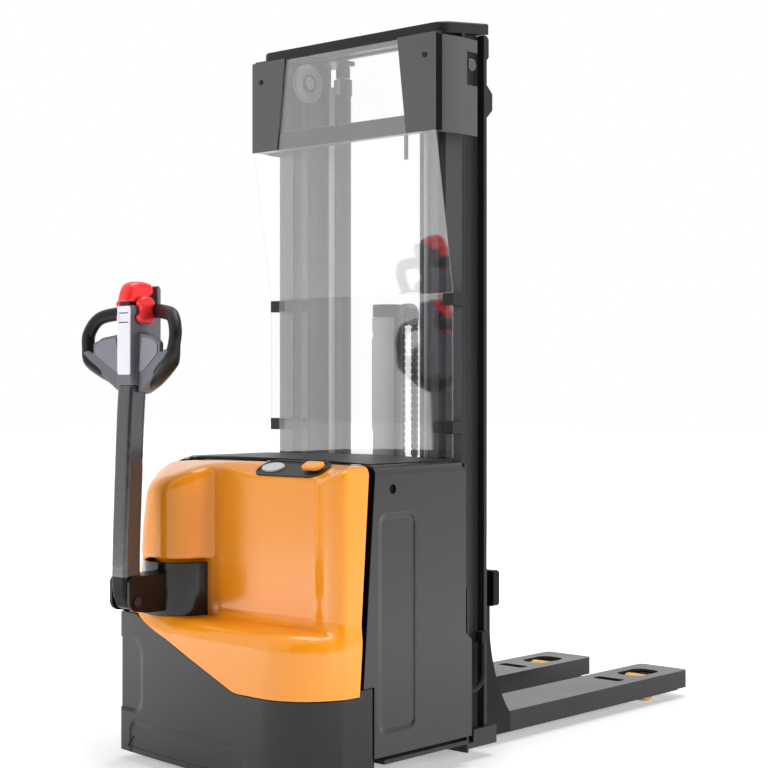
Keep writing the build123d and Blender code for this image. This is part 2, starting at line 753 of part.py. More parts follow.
# Belly button: domed safety switch on the end of the head
button_low = button_seat + button_travel + running_gap
button_crown = 1310.0
with BuildPart() as belly_button:
    with BuildSketch(Plane.YZ.offset(axis_x)):
        with BuildLine():
            Line((button_rear_y, button_low), (button_front_y, button_low))
            Line((button_front_y, button_low), (button_front_y, button_crown - 12))
            ThreePointArc((button_front_y, button_crown - 12), (throttle_y - 6, button_crown - 8), (button_rear_y, button_low))
        make_face()
    extrude(amount=head_half_width, both=True)
    fillet(belly_button.faces().sort_by(Axis.Z)[-1].edges(), 8)
    with BuildSketch(Plane.XY.offset(button_low)):
        with Locations((axis_x, button_y)):
            Circle(button_stem)
    extrude(amount=-button_travel)
belly_button.part.label = "belly_button"
export_step(belly_button.part, "parts/belly_button.step")

# Throttle: butterfly with a thumb paddle on each side of the head, on one shaft
paddle_size = (56.0, 74.0)
waist_radius = 18.0
with BuildPart() as throttle:
    with BuildSketch(Plane.YZ.offset(axis_x)):
        with Locations((throttle_y, throttle_z)):
            Circle(throttle_shaft)
    extrude(amount=head_half_width + 2, both=True)
    for side in (-1, 1):
        with BuildSketch(Plane.YZ.offset(axis_x + side * (head_half_width + running_gap + paddle_thick / 2))):
            with Locations((throttle_y, throttle_z)):
                RectangleRounded(*paddle_size, 24)
            waist = paddle_size[0] / 2 + waist_radius - 9
            with Locations((throttle_y + waist, throttle_z), (throttle_y - waist, throttle_z)):
                Circle(waist_radius, mode=Mode.SUBTRACT)
        extrude(amount=paddle_thick / 2, both=True)
throttle.part.label = "throttle"
export_step(throttle.part, "parts/throttle.step")

# Lift rocker: raise and lower switch on a pin across a recess in the operator's face of the head
with BuildPart() as lift_rocker:
    with BuildSketch(Plane.YZ.offset(axis_x)):
        with BuildLine():
            face = head_rear_y - 3
            tall = rocker_half[1] - 3
            Polyline((rocker_y - 1, rocker_z - tall), (face, rocker_z - tall), (face + 2, rocker_z),
                     (face, rocker_z + tall), (rocker_y - 1, rocker_z + tall), (rocker_y + rocker_pin, rocker_z + 4),
                     (rocker_y + rocker_pin, rocker_z - 4), close=True)
        make_face()
    extrude(amount=rocker_half[0], both=True)
    with BuildSketch(Plane.YZ.offset(axis_x)):
        with Locations((rocker_y, rocker_z)):
            Circle(rocker_pin)
    extrude(amount=rocker_half[0] + 5, both=True)
lift_rocker.part.label = "lift_rocker"
export_step(lift_rocker.part, "parts/lift_rocker.step")

# Caster: swivelling fork with its trailing wheel
caster_cheek = 6.0
caster_crown = 12.0
with BuildPart() as caster_fork:
    with BuildSketch(Plane.XY.offset(caster_plate_top - caster_crown)):
        with Locations((caster_x, caster_y)):
            Circle(caster_post_radius)
        with Locations((caster_x, caster_y - caster_trail / 2)):
            Rectangle(caster_width + 2 * caster_cheek + 4, caster_trail + 50)
    extrude(amount=caster_crown)
    with BuildSketch(Plane.XY.offset(caster_plate_top)):
        with Locations((caster_x, caster_y)):
            Circle(caster_pin_radius)
    extrude(amount=deck_z - caster_plate_top - 10)
    for side in (-1, 1):
        with BuildSketch(Plane.YZ.offset(caster_x + side * (caster_width / 2 + 2 + caster_cheek / 2))):
            with BuildLine():
                tail = caster_y - caster_trail
                Polyline((tail - 20, caster_radius), (tail - 40, caster_plate_top - caster_crown + 2),
                         (caster_y + 20, caster_plate_top - caster_crown + 2), (tail + 20, caster_radius))
                ThreePointArc((tail + 20, caster_radius), (tail, caster_radius - 20), (tail - 20, caster_radius))
            make_face()
        extrude(amount=caster_cheek / 2, both=True)
    with BuildSketch(Plane.YZ.offset(caster_x)):
        with Locations((caster_y - caster_trail, caster_radius)):
            Circle(caster_pin_radius / 2)
    extrude(amount=caster_width / 2 + caster_cheek + 6, both=True)
caster_fork.part.label = "caster_fork"
export_step(caster_fork.part, "parts/caster_fork.step")


def roller(radius, width, bore, edge):
    """Wheel turned about the X axis, centred on the origin, with rounded tread edges and hub faces set in."""
    half = width / 2
    with BuildPart() as wheel:
        with BuildSketch(Plane.XY):
            with BuildLine():
                Polyline((-half + 3, bore), (-half + 3, 0.6 * radius), (-half, 0.66 * radius), (-half, radius - edge),
                         (-half + edge, radius), (half - edge, radius), (half, radius - edge), (half, 0.66 * radius),
                         (half - 3, 0.6 * radius), (half - 3, bore), close=True)
            make_face()
        revolve(axis=Axis.X)
    return wheel.part


with BuildPart() as caster_wheel:
    with Locations((caster_x, caster_y - caster_trail, caster_radius)):
        add(roller(caster_radius, caster_width, caster_pin_radius / 2 + fit, 6))
caster_wheel.part.label = "caster_wheel"
export_step(caster_wheel.part, "parts/caster_wheel.step")

# Lift frame: mast foot, battery tray and the plate that slides on the drive section
frame_half_width = body_half_width - panel_wall
back_plate_top = 480.0
back_plate_thick = 8.0
slide_plate_top = 576.0
slide_plate_half = body_half_width - 50
rod_bracket = (90.0, 30.0, 16.0)
foot_block = (12.0, 102.0, 86.0)
foot_half_width = mast_half_width + foot_block[0]
mast_front_y = rail_rear_y + rail_depth
with BuildPart() as base_frame:
    with BuildSketch(Plane.XY.offset(foot_plate_z)):
        with Locations((0, back_plate_y)):
            Rectangle(2 * foot_half_width, foot_front_y - back_plate_y, align=(Align.CENTER, Align.MIN))
    extrude(amount=foot_plate_thick)
    for side in (-1, 1):
        with BuildSketch(Plane.XY.offset(foot_plate_z)):
            with Locations((side * (mast_half_width + foot_block[0] / 2), foot_front_y - foot_block[1] / 2)):
                Rectangle(foot_block[0], foot_block[1])
        extrude(amount=foot_block[2] - foot_plate_z)
    with BuildSketch(Plane.XY.offset(foot_plate_z)):
        with Locations((0, back_plate_y)):
            Rectangle(2 * frame_half_width, back_plate_thick, align=(Align.CENTER, Align.MIN))
    extrude(amount=back_plate_top - foot_plate_z)
    with BuildSketch(Plane.XY.offset(tray_z)):
        with Locations((0, back_plate_y)):
            Rectangle(2 * frame_half_width, back_plate_y - slide_plate_y, align=(Align.CENTER, Align.MAX))
    extrude(amount=tray_thick)
    with BuildSketch(Plane.XY.offset(tray_z)):
        with Locations((0, slide_plate_y)):
            Rectangle(2 * slide_plate_half, slide_plate_thick, align=(Align.CENTER, Align.MIN))
    extrude(amount=slide_plate_top - tray_z)
    with BuildSketch(Plane.XY.offset(initial_rod_z[1])):
        with Locations((initial_x, slide_plate_y + slide_plate_thick)):
            Rectangle(rod_bracket[0], slide_plate_y + slide_plate_thick - initial_y + rod_bracket[1],
                      align=(Align.CENTER, Align.MAX))
    extrude(amount=rod_bracket[2])
base_frame.part.label = "base_frame"
export_step(base_frame.part, "parts/base_frame.step")

# Battery in the tray, with its lid step and terminals
battery_gap = 8.0
battery_front_y = panel_front_y - panel_wall - battery_gap
battery_rear_y = slide_plate_y + slide_plate_thick + battery_gap
battery_top = 780.0
battery_half_width = body_half_width - 28
terminal_radius = 14.0
with BuildPart() as battery:
    with BuildSketch(Plane.XY.offset(tray_z + tray_thick)):
        with Locations((0, battery_rear_y)):
            Rectangle(2 * battery_half_width, battery_front_y - battery_rear_y, align=(Align.CENTER, Align.MIN))
    extrude(amount=battery_top - tray_z - tray_thick)
    chamfer(battery.edges().filter_by(Axis.Z), 10)
    with BuildSketch(Plane.XY.offset(battery_top)):
        with Locations(*[(x, (battery_rear_y + battery_front_y) / 2 + 60) for x in (-250, 250)]):
            Circle(terminal_radius)
    extrude(amount=22)
battery.part.label = "battery"
export_step(battery.part, "parts/battery.step")

# Side panels: pressed covers with a rolled top edge, a long shallow pressing and the lock hole
panel_press = (-585.0, body_top - 405, 132.0, body_top - 275)
press_depth = 2.5
lock_hole = (-604.0, body_top - 62, 12.5)
panel_step_z = 363.0
panel_low_front_y = -283.0
panel_lip_x = body_half_width - 60
panel_return = 34.0
for name, side in (("side_panel_left", -1), ("side_panel_right", 1)):
    outer = side * body_half_width
    with BuildPart() as side_panel:
        with BuildSketch(Plane.XZ.offset(-panel_low_front_y)):
            with BuildLine():
                roll = body_half_width - panel_top_radius
                deep = panel_wall * 0.7071
                bend = panel_top_radius * 0.7071
                Line((outer, panel_bottom), (outer, body_top - panel_top_radius))
                ThreePointArc((outer, body_top - panel_top_radius), (side * (roll + bend), body_top - panel_top_radius + bend),
                              (side * roll, body_top))
                Polyline((side * roll, body_top), (side * panel_lip_x, body_top),
                         (side * panel_lip_x, body_top - panel_wall), (side * roll, body_top - panel_wall))
                ThreePointArc((side * roll, body_top - panel_wall),
                              (side * (roll + bend - deep), body_top - panel_top_radius + bend - deep),
                              (outer - side * panel_wall, body_top - panel_top_radius))
                Polyline((outer - side * panel_wall, body_top - panel_top_radius),
                         (outer - side * panel_wall, panel_bottom), (outer, panel_bottom))
            make_face()
        extrude(amount=panel_low_front_y - seam_low_y)
        with BuildSketch(Plane.XY.offset(panel_bottom)):
            with Locations((outer - side * panel_return / 2, panel_front_y - panel_wall / 2)):
                Rectangle(panel_return, panel_wall)
        extrude(amount=body_top - panel_wall - panel_bottom)
        with BuildSketch(Plane.YZ):
            with BuildLine():
                Polyline((panel_low_rear_y, panel_bottom), (panel_low_front_y, panel_bottom),
                         (panel_low_front_y, panel_step_z - 20), (panel_front_y, panel_step_z),
                         (panel_front_y, body_top), (seam_top_y, body_top), (seam_low_y, seam_low_z),
                         (panel_low_rear_y, seam_low_z), close=True)
            make_face()
        extrude(amount=2 * body_half_width, both=True, mode=Mode.INTERSECT)
        extrude(shoulder_cut(0), amount=body_top, mode=Mode.SUBTRACT)
        with BuildSketch(Plane.YZ.offset(outer)):
            with Locations((panel_press[0], panel_press[1])):
                RectangleRounded(panel_press[2], panel_press[3], 22)
        extrude(amount=-side * press_depth, mode=Mode.SUBTRACT)
        with BuildSketch(Plane.YZ.offset(outer)):
            with Locations(lock_hole[:2]):
                Circle(lock_hole[2])
        extrude(amount=-side * panel_wall, mode=Mode.SUBTRACT)
    side_panel.part.label = name
    export_step(side_panel.part, f"parts/{name}.step")

# Top cover over the battery, slightly crowned, let in around the mast feet
cover_half_width = body_half_width - 34
cover_rear_y = seam_top_y + 13
cover_front_y = panel_front_y - 6
cover_crown = 9.0
cover_edge = 3.0
with BuildPart() as top_cover:
    with BuildSketch(Plane.XZ.offset(-cover_front_y)):
        with BuildLine():
            Line((-cover_half_width, body_top), (cover_half_width, body_top))
            Line((cover_half_width, body_top), (cover_half_width, body_top + cover_edge))
            ThreePointArc((cover_half_width, body_top + cover_edge), (0, body_top + cover_crown),
                          (-cover_half_width, body_top + cover_edge))
            Line((-cover_half_width, body_top + cover_edge), (-cover_half_width, body_top))
        make_face()
    extrude(amount=cover_front_y - cover_rear_y)
    chamfer(top_cover.edges().filter_by(Axis.Z), 1.5)
    extrude(shoulder_cut(0), amount=body_top, mode=Mode.SUBTRACT)
top_cover.part.label = "top_cover"
export_step(top_cover.part, "parts/top_cover.step")

# Outer mast rails: I-sections with welded guard tabs behind and roller brackets in front at the top
rail_inner_x = mast_half_width - outer_rail_width
web_x = rail_inner_x + (outer_rail_width - outer_web) / 2
tab_z = (guard_bottom + 81, guard_bend_z - 24)
tab_height = 34.0
tab_nose = 36.0
tab_reach = 106.0
tab_sheet = 8.0
tab_back = rail_rear_y - guard_low_y
roller_bracket_z = ((outer_rail_top - 228, outer_rail_top - 136, 25.0),
                    (outer_rail_top - 68, outer_rail_top, 9.0))
for name, side in (("outer_rail_left", -1), ("outer_rail_right", 1)):
    with BuildPart() as outer_rail:
        with BuildSketch(Plane.XY.offset(rail_bottom)):
            with Locations((side * (rail_inner_x + outer_rail_width / 2), rail_rear_y)):
                Rectangle(outer_rail_width, rail_depth, align=(Align.CENTER, Align.MIN))
            channel = rail_depth - 2 * outer_flange
            side_depth = (outer_rail_width - outer_web) / 2
            with Locations(*[(side * x, rail_rear_y + rail_depth / 2)
                             for x in (rail_inner_x + side_depth / 2, mast_half_width - side_depth / 2)]):
                Rectangle(side_depth, channel, mode=Mode.SUBTRACT)
        extrude(amount=outer_rail_top - rail_bottom)
        for z in tab_z:
            with BuildSketch(Plane.XY.offset(z - tab_height / 2)):
                for width, back in ((tab_reach, tab_sheet), (outer_rail_width, tab_back - guard_sheet),
                                    (tab_nose, tab_back)):
                    with Locations((side * (mast_half_width - width / 2), rail_rear_y)):
                        Rectangle(width, back, align=(Align.CENTER, Align.MAX))
            extrude(amount=tab_height)
        for low, high, proud in roller_bracket_z:
            with BuildSketch(Plane.YZ.offset(side * (mast_half_width - outer_rail_width / 2))):
                with BuildLine():
                    slope = min(proud, (high - low) / 4)
                    Polyline((mast_front_y, low), (mast_front_y + proud, low + slope),
                             (mast_front_y + proud, high - slope), (mast_front_y, high), close=True)
                make_face()
            extrude(amount=outer_rail_width / 2, both=True)
    outer_rail.part.label = name
    export_step(outer_rail.part, f"parts/{name}.step")

# Lift cylinders on the foot plate between the rails, with their collars and feed pipes
collar_height = 46.0
feed_pipe = (20.0, -26.0, 10.0)
for name, side in (("lift_cylinder_left", -1), ("lift_cylinder_right", 1)):
    with BuildPart() as lift_cylinder:
        with BuildSketch(Plane.XY.offset(rail_bottom)):
            with Locations((side * cylinder_x, cylinder_y)):
                Circle(cylinder_radius)
        extrude(amount=cylinder_top - rail_bottom)
        with BuildSketch(Plane.XY.offset(cylinder_top - collar_height)):
            with Locations((side * cylinder_x, cylinder_y)):
                Circle(cylinder_radius + 3)
        extrude(amount=collar_height)
        with BuildSketch(Plane.XY.offset(rail_bottom)):
            with Locations((side * (cylinder_x + feed_pipe[0]), cylinder_y + feed_pipe[1])):
                Circle(feed_pipe[2])
        extrude(amount=cylinder_top - collar_height / 2 - rail_bottom)
        with BuildSketch(Plane.XY.offset(rail_bottom + 20)):
            with Locations((side * cylinder_x, cylinder_y)):
                Circle(rod_radius + fit)
        extrude(amount=cylinder_top, mode=Mode.SUBTRACT)
    lift_cylinder.part.label = name
    export_step(lift_cylinder.part, f"parts/{name}.step")

# Header: bent plates at the mast top, joined by an upper and a lower bar behind the guard
header_bend = 46.0
bend_inside = header_bend - header_sheet
header_inner_top = 140.0
header_inner_low = 108.0
notch = (-252.0, header_top - 120, header_top - 32)
for name, side in (("header_plate_left", -1), ("header_plate_right", 1)):
    with BuildPart() as header_plate:
        with BuildSketch(Plane.XY.offset(header_bottom)):
            with BuildLine():
                reach = header_half_width - header_inner_top
                inside = header_half_width - header_sheet
                outer = FilletPolyline((side * reach, header_rear_y), (side * header_half_width, header_rear_y),
                                       (side * header_half_width, header_front_y), radius=header_bend)
                inner = FilletPolyline((side * inside, header_front_y), (side * inside, header_rear_y + header_sheet),
                                       (side * reach, header_rear_y + header_sheet), radius=bend_inside)
                Line(outer @ 1, inner @ 0)
                Line(inner @ 1, outer @ 0)
            make_face()
        extrude(amount=header_top - header_bottom)
        with BuildSketch(Plane.XZ.offset(-header_rear_y - header_bend / 2)):
            with BuildLine():
                slant = header_inner_top - header_inner_low
                Polyline((side * (reach - 1), header_bottom - 1), (side * (reach + slant), header_bottom - 1),
                         (side * reach, header_top + 1), (side * (reach - 1), header_top + 1), close=True)
            make_face()
        extrude(amount=header_bend, mode=Mode.SUBTRACT)
        with BuildSketch(Plane.YZ.offset(side * (header_half_width - header_sheet / 2))):
            with Locations((notch[0], (notch[1] + notch[2]) / 2)):
                Rectangle(2 * (header_front_y - notch[0]), notch[2] - notch[1], align=(Align.MIN, Align.CENTER))
        extrude(amount=header_sheet, both=True, mode=Mode.SUBTRACT)
    header_plate.part.label = name
    export_step(header_plate.part, f"parts/{name}.step")

header_bar_depth = 24.0
guard_top_y = header_rear_y + header_sheet


def bar_reach(ahead):
    """Half length of a header bar at a distance ahead of the rear sheet, ending in the plates' bends."""
    drop = bend_inside - ahead
    return header_half_width - header_bend + sqrt(bend_inside ** 2 - drop ** 2) - running_gap


bar_rear_y = guard_top_y + guard_sheet
for name, low, high in (("header_lower_bar", header_bottom, header_bottom + 52),
                        ("header_upper_bar", header_top - 17, outer_rail_top)):
    with BuildPart() as header_bar:
        with BuildSketch(Plane.XY.offset(low)):
            with BuildLine():
                back = bar_reach(guard_sheet)
                front = bar_reach(guard_sheet + header_bar_depth)
                Polyline((-back, bar_rear_y), (back, bar_rear_y), (front, bar_rear_y + header_bar_depth),
                         (-front, bar_rear_y + header_bar_depth), close=True)
            make_face()
        extrude(amount=high - low)
    header_bar.part.label = name
    export_step(header_bar.part, f"parts/{name}.step")

# Mast cap: U-shaped black cap over the header and the outer rails, open for the inner mast
cap_rear_y = header_rear_y - 4
cap_front_y = mast_front_y + 9
cap_inner_x = rail_inner_x
cap_inner_y = header_rear_y + 38
with BuildPart() as mast_cap:
    with BuildSketch(Plane.XY.offset(outer_rail_top)):
        with Locations((0, cap_rear_y)):
            Rectangle(2 * header_half_width, cap_front_y - cap_rear_y, align=(Align.CENTER, Align.MIN))
    extrude(amount=cap_height)
    fillet(mast_cap.edges().filter_by(Axis.Z).group_by(Axis.Y)[0], header_bend)
    fillet(mast_cap.edges().filter_by(Axis.Z).group_by(Axis.Y)[-1], 12)
    chamfer(mast_cap.faces().sort_by(Axis.Z)[-1].edges(), 8)
    with BuildSketch(Plane.XY.offset(outer_rail_top)):
        with Locations((0, cap_inner_y)):
            Rectangle(2 * cap_inner_x, 2 * (cap_front_y - cap_inner_y), align=(Align.CENTER, Align.MIN))
    extrude(amount=cap_height, mode=Mode.SUBTRACT)
mast_cap.part.label = "mast_cap"
export_step(mast_cap.part, "parts/mast_cap.step")

# Guard: clear sheet that stands upright, notched for the tabs, leans back from the bend and ends in the header
guard_half_width = header_half_width - 6
with BuildPart() as guard:
    with BuildSketch(Plane.YZ):
        with BuildLine():
            Polyline((guard_low_y, guard_bottom), (guard_low_y, guard_bend_z), (guard_top_y, header_bottom),
                     (guard_top_y, header_top - 4), (guard_top_y + guard_sheet, header_top - 4),
                     (guard_top_y + guard_sheet, header_bottom), (guard_low_y + guard_sheet, guard_bend_z),
                     (guard_low_y + guard_sheet, guard_bottom), close=True)
        make_face()
    extrude(amount=guard_half_width, both=True)
    with BuildSketch(Plane.XZ.offset(-guard_top_y)):
        with Locations(*[(side * header_half_width, (header_bottom + header_top) / 2) for side in (-1, 1)]):
            Rectangle(3 * header_bend, header_top - header_bottom)
    extrude(amount=4 * header_sheet, both=True, mode=Mode.SUBTRACT)
    with BuildSketch(Plane.XZ.offset(-guard_low_y)):
        with Locations(*[(side * mast_half_width, z) for side in (-1, 1) for z in tab_z]):
            Rectangle(2 * (tab_nose + running_gap), tab_height + 2 * running_gap)
    extrude(amount=2 * guard_sheet, both=True, mode=Mode.SUBTRACT)
guard.part.label = "guard"
export_step(guard.part, "parts/guard.step")

# Pressure hose at the mast foot, from the back plate up to its fitting on the right rail
hose_radius = 7.0
hose_x = mast_half_width + 16
hose_low_z = 196.0
hose_up_y = -198.0
hose_top_z = 322.0
hose_bend = 42.0
fitting_size = (24.0, 26.0, 30.0)
with BuildPart() as foot_hose:
    with BuildLine():
        FilletPolyline((hose_x, back_plate_y + back_plate_thick, hose_low_z), (hose_x, hose_up_y, hose_low_z),
                       (hose_x, hose_up_y, hose_top_z), radius=hose_bend)
    with BuildSketch(Plane.XZ.offset(-back_plate_y - back_plate_thick)):
        with Locations((hose_x, hose_low_z)):
            Circle(hose_radius)
    sweep()
    with BuildSketch(Plane.XY.offset(hose_top_z)):
        with Locations((mast_half_width, hose_up_y)):
            Rectangle(fitting_size[0], fitting_size[1], align=(Align.MIN, Align.CENTER))
    extrude(amount=fitting_size[2])
foot_hose.part.label = "foot_hose"
export_step(foot_hose.part, "parts/foot_hose.step")

# Support legs: inverted channels inside the forks, with the pin that the load arm turns on
leg_half = fork_width / 2 - fork_sheet - leg_side_gap
leg_top = fork_top - fork_sheet - leg_top_gap
leg_end_y = 950.0
wheel_well = (load_wheel_width + 8, 2 * load_wheel_radius + 26)
sides = (("left", -1), ("right", 1))
for name, side in sides:
    with BuildPart() as support_leg:
        with BuildSketch(Plane.XZ.offset(-foot_front_y)):
            with Locations((side * fork_center, leg_bottom)):
                Rectangle(2 * leg_half, leg_top - leg_bottom, align=(Align.CENTER, Align.MIN))
                Rectangle(2 * (leg_half - leg_sheet), leg_top - leg_bottom - leg_sheet,
                          align=(Align.CENTER, Align.MIN), mode=Mode.SUBTRACT)
        extrude(amount=foot_front_y - leg_end_y)
        with BuildSketch(Plane.XZ.offset(-foot_front_y)):
            with Locations((side * fork_center, leg_bottom)):
                Rectangle(2 * leg_half, leg_top - leg_bottom, align=(Align.CENTER, Align.MIN))
        extrude(amount=-leg_sheet)
        with BuildSketch(Plane.XY.offset(leg_top)):
            with Locations((side * fork_center, load_wheel_y)):
                RectangleRounded(*wheel_well, 8)
        extrude(amount=-leg_sheet, mode=Mode.SUBTRACT)
        with BuildSketch(Plane.YZ.offset(side * fork_center)):
            with Locations((load_pivot_y, load_pivot_z)):
                Circle(load_pin_radius)
        extrude(amount=leg_half, both=True)
    support_leg.part.label = f"support_leg_{name}"
    export_step(support_leg.part, f"parts/support_leg_{name}.step")

# Load arms: welded yokes that swing down about the leg pin and push the lift frame up
arm_cheek = 7.0
arm_cheek_x = load_wheel_width / 2 + 3
arm_end_radius = 16.0
for name, side in sides:
    with BuildPart() as load_arm:
        for cheek in (-1, 1):
            with BuildSketch(Plane.YZ.offset(side * fork_center + cheek * (arm_cheek_x + arm_cheek / 2))):
                with BuildLine():
                    first = (load_pivot_y, load_pivot_z)
                    last = (load_wheel_y, load_wheel_radius)
                    Line((first[0], first[1] + arm_end_radius), (last[0], last[1] + arm_end_radius))
                    ThreePointArc((last[0], last[1] + arm_end_radius), (last[0] + arm_end_radius, last[1]),
                                  (last[0], last[1] - arm_end_radius))
                    Line((last[0], last[1] - arm_end_radius), (first[0], first[1] - arm_end_radius))
                    ThreePointArc((first[0], first[1] - arm_end_radius), (first[0] - arm_end_radius, first[1]),
                                  (first[0], first[1] + arm_end_radius))
                make_face()
            extrude(amount=arm_cheek / 2, both=True)
        with BuildSketch(Plane.YZ.offset(side * fork_center)):
            with Locations((load_pivot_y, load_pivot_z)):
                Circle(arm_end_radius)
        extrude(amount=arm_cheek_x, both=True)
        with BuildSketch(Plane.YZ.offset(side * fork_center)):
            with Locations((load_wheel_y, load_wheel_radius)):
                Circle(load_pin_radius)
        extrude(amount=arm_cheek_x + arm_cheek, both=True)
        with BuildSketch(Plane.YZ.offset(side * fork_center)):
            with Locations((load_pivot_y, load_pivot_z)):
                Circle(load_pin_radius + fit)
        extrude(amount=arm_cheek_x + arm_cheek, both=True, mode=Mode.SUBTRACT)
    load_arm.part.label = f"load_arm_{name}"
    export_step(load_arm.part, f"parts/load_arm_{name}.step")

for name, side in sides:
    with BuildPart() as load_wheel:
        with Locations((side * fork_center, load_wheel_y, load_wheel_radius)):
            add(roller(load_wheel_radius, load_wheel_width, load_pin_radius + fit, 4))
    load_wheel.part.label = f"load_wheel_{name}"
    export_step(load_wheel.part, f"parts/load_wheel_{name}.step")

# Inner mast rails: lighter I-sections nested in the outer pair, running on shoes in its channels
inner_low = rail_bottom + 2
inner_web = 10.0
inner_x = rail_inner_x - rail_gap - inner_rail_width
inner_rear_y = rail_rear_y + inner_set_in
inner_depth = rail_depth - 2 * inner_set_in
inner_side_depth = (inner_rail_width - inner_web) / 2
mast_mid_y = rail_rear_y + rail_depth / 2
shoe_z = ((60.0, 160.0), (460.0, 560.0))
for name, side in sides:
    with BuildPart() as inner_rail:
        with BuildSketch(Plane.XY.offset(inner_low)):
            with Locations((side * (inner_x + inner_rail_width / 2), inner_rear_y)):
                Rectangle(inner_rail_width, inner_depth, align=(Align.CENTER, Align.MIN))
            with Locations(*[(side * x, mast_mid_y) for x in (inner_x + inner_side_depth / 2,
                                                              inner_x + inner_rail_width - inner_side_depth / 2)]):
                Rectangle(inner_side_depth, inner_depth - 2 * inner_flange, mode=Mode.SUBTRACT)
        extrude(amount=inner_rail_top - inner_low)
        for low, high in shoe_z:
            start = inner_x + inner_side_depth + inner_web
            with BuildSketch(Plane.XY.offset(low)):
                with Locations((side * (start + web_x - slide_gap) / 2, mast_mid_y)):
                    Rectangle(web_x - slide_gap - start, rail_depth - 2 * outer_flange - 2 * slide_gap)
            extrude(amount=high - low)
    inner_rail.part.label = f"inner_rail_{name}"
    export_step(inner_rail.part, f"parts/inner_rail_{name}.step")

# Ties of the inner mast: the foot carries the free-lift cylinder, the top takes the rods, the hose pulley and a
# hanging stop rod
foot_tie_height = 20.0
foot_tie_y = (-262.0, -230.0)
foot_pad = (124.0, 104.0)
top_tie_z = inner_rail_top - 50
top_tie_depth = 98.0
stop_rod = (83.0, -191.0, 7.0)
stop_rod_low = outer_rail_top - 322
bracket_sheet = 6.0
pulley_pin = 8.0
with BuildPart() as inner_foot_tie:
    with BuildSketch(Plane.XY.offset(inner_low)):
        with Locations((0, foot_tie_y[0])):
            Rectangle(2 * inner_x, foot_tie_y[1] - foot_tie_y[0], align=(Align.CENTER, Align.MIN))
        with Locations((free_lift_x, free_lift_y)):
            Rectangle(*foot_pad)
    extrude(amount=foot_tie_height)
inner_foot_tie.part.label = "inner_foot_tie"
export_step(inner_foot_tie.part, "parts/inner_foot_tie.step")

bracket_x = pulley_x + pulley_width / 2 + 2
with BuildPart() as inner_top_tie:
    with BuildSketch(Plane.XY.offset(top_tie_z)):
        with Locations((0, inner_rear_y)):
            Rectangle(2 * inner_x, top_tie_depth, align=(Align.CENTER, Align.MIN))
    extrude(amount=inner_rail_top - top_tie_z)
    with BuildSketch(Plane.YZ.offset(pulley_x)):
        with Locations((pulley_y, pulley_z)):
            Circle(pulley_radius + 4)
    extrude(amount=pulley_width / 2 + 2, both=True, mode=Mode.SUBTRACT)
    with BuildSketch(Plane.YZ.offset(bracket_x)):
        with BuildLine():
            ear = 18.0
            Polyline((pulley_y - ear, pulley_z), (pulley_y - ear, inner_rail_top), (inner_rear_y + ear, inner_rail_top),
                     (inner_rear_y + ear, top_tie_z), (pulley_y + ear, pulley_z))
            ThreePointArc((pulley_y + ear, pulley_z), (pulley_y, pulley_z - ear), (pulley_y - ear, pulley_z))
        make_face()
    extrude(amount=bracket_sheet)
    with BuildSketch(Plane.YZ.offset(bracket_x)):
        with Locations((pulley_y, pulley_z)):
            Circle(pulley_pin)
    extrude(amount=-(pulley_width + 4))
    with BuildSketch(Plane.XY.offset(stop_rod_low)):
        with Locations(stop_rod[:2]):
            Circle(stop_rod[2])
    extrude(amount=top_tie_z - stop_rod_low)
inner_top_tie.part.label = "inner_top_tie"
export_step(inner_top_tie.part, "parts/inner_top_tie.step")

for name, side in sides:
    with BuildPart() as lift_rod:
        with BuildSketch(Plane.XY.offset(300)):
            with Locations((side * cylinder_x, cylinder_y)):
                Circle(rod_radius)
        extrude(amount=top_tie_z - 300)
    lift_rod.part.label = f"lift_rod_{name}"
    export_step(lift_rod.part, f"parts/lift_rod_{name}.step")

with BuildPart() as hose_pulley:
    with BuildSketch(Plane.XY):
        with BuildLine():
            half = pulley_width / 2
            Polyline((-half, pulley_pin + fit), (-half, 22), (-half + 3, 26), (-half + 3, 40), (-half, 44),
                     (-half, pulley_radius))
            ThreePointArc((-half, pulley_radius), (0, pulley_radius - 7), (half, pulley_radius))
            Polyline((half, pulley_radius), (half, 44), (half - 3, 40), (half - 3, 26), (half, 22),
                     (half, pulley_pin + fit), (-half, pulley_pin + fit))
        make_face()
    revolve(axis=Axis.X)
hose_pulley.part = Location((pulley_x, pulley_y, pulley_z)) * hose_pulley.part
hose_pulley.part.label = "hose_pulley"
export_step(hose_pulley.part, "parts/hose_pulley.step")

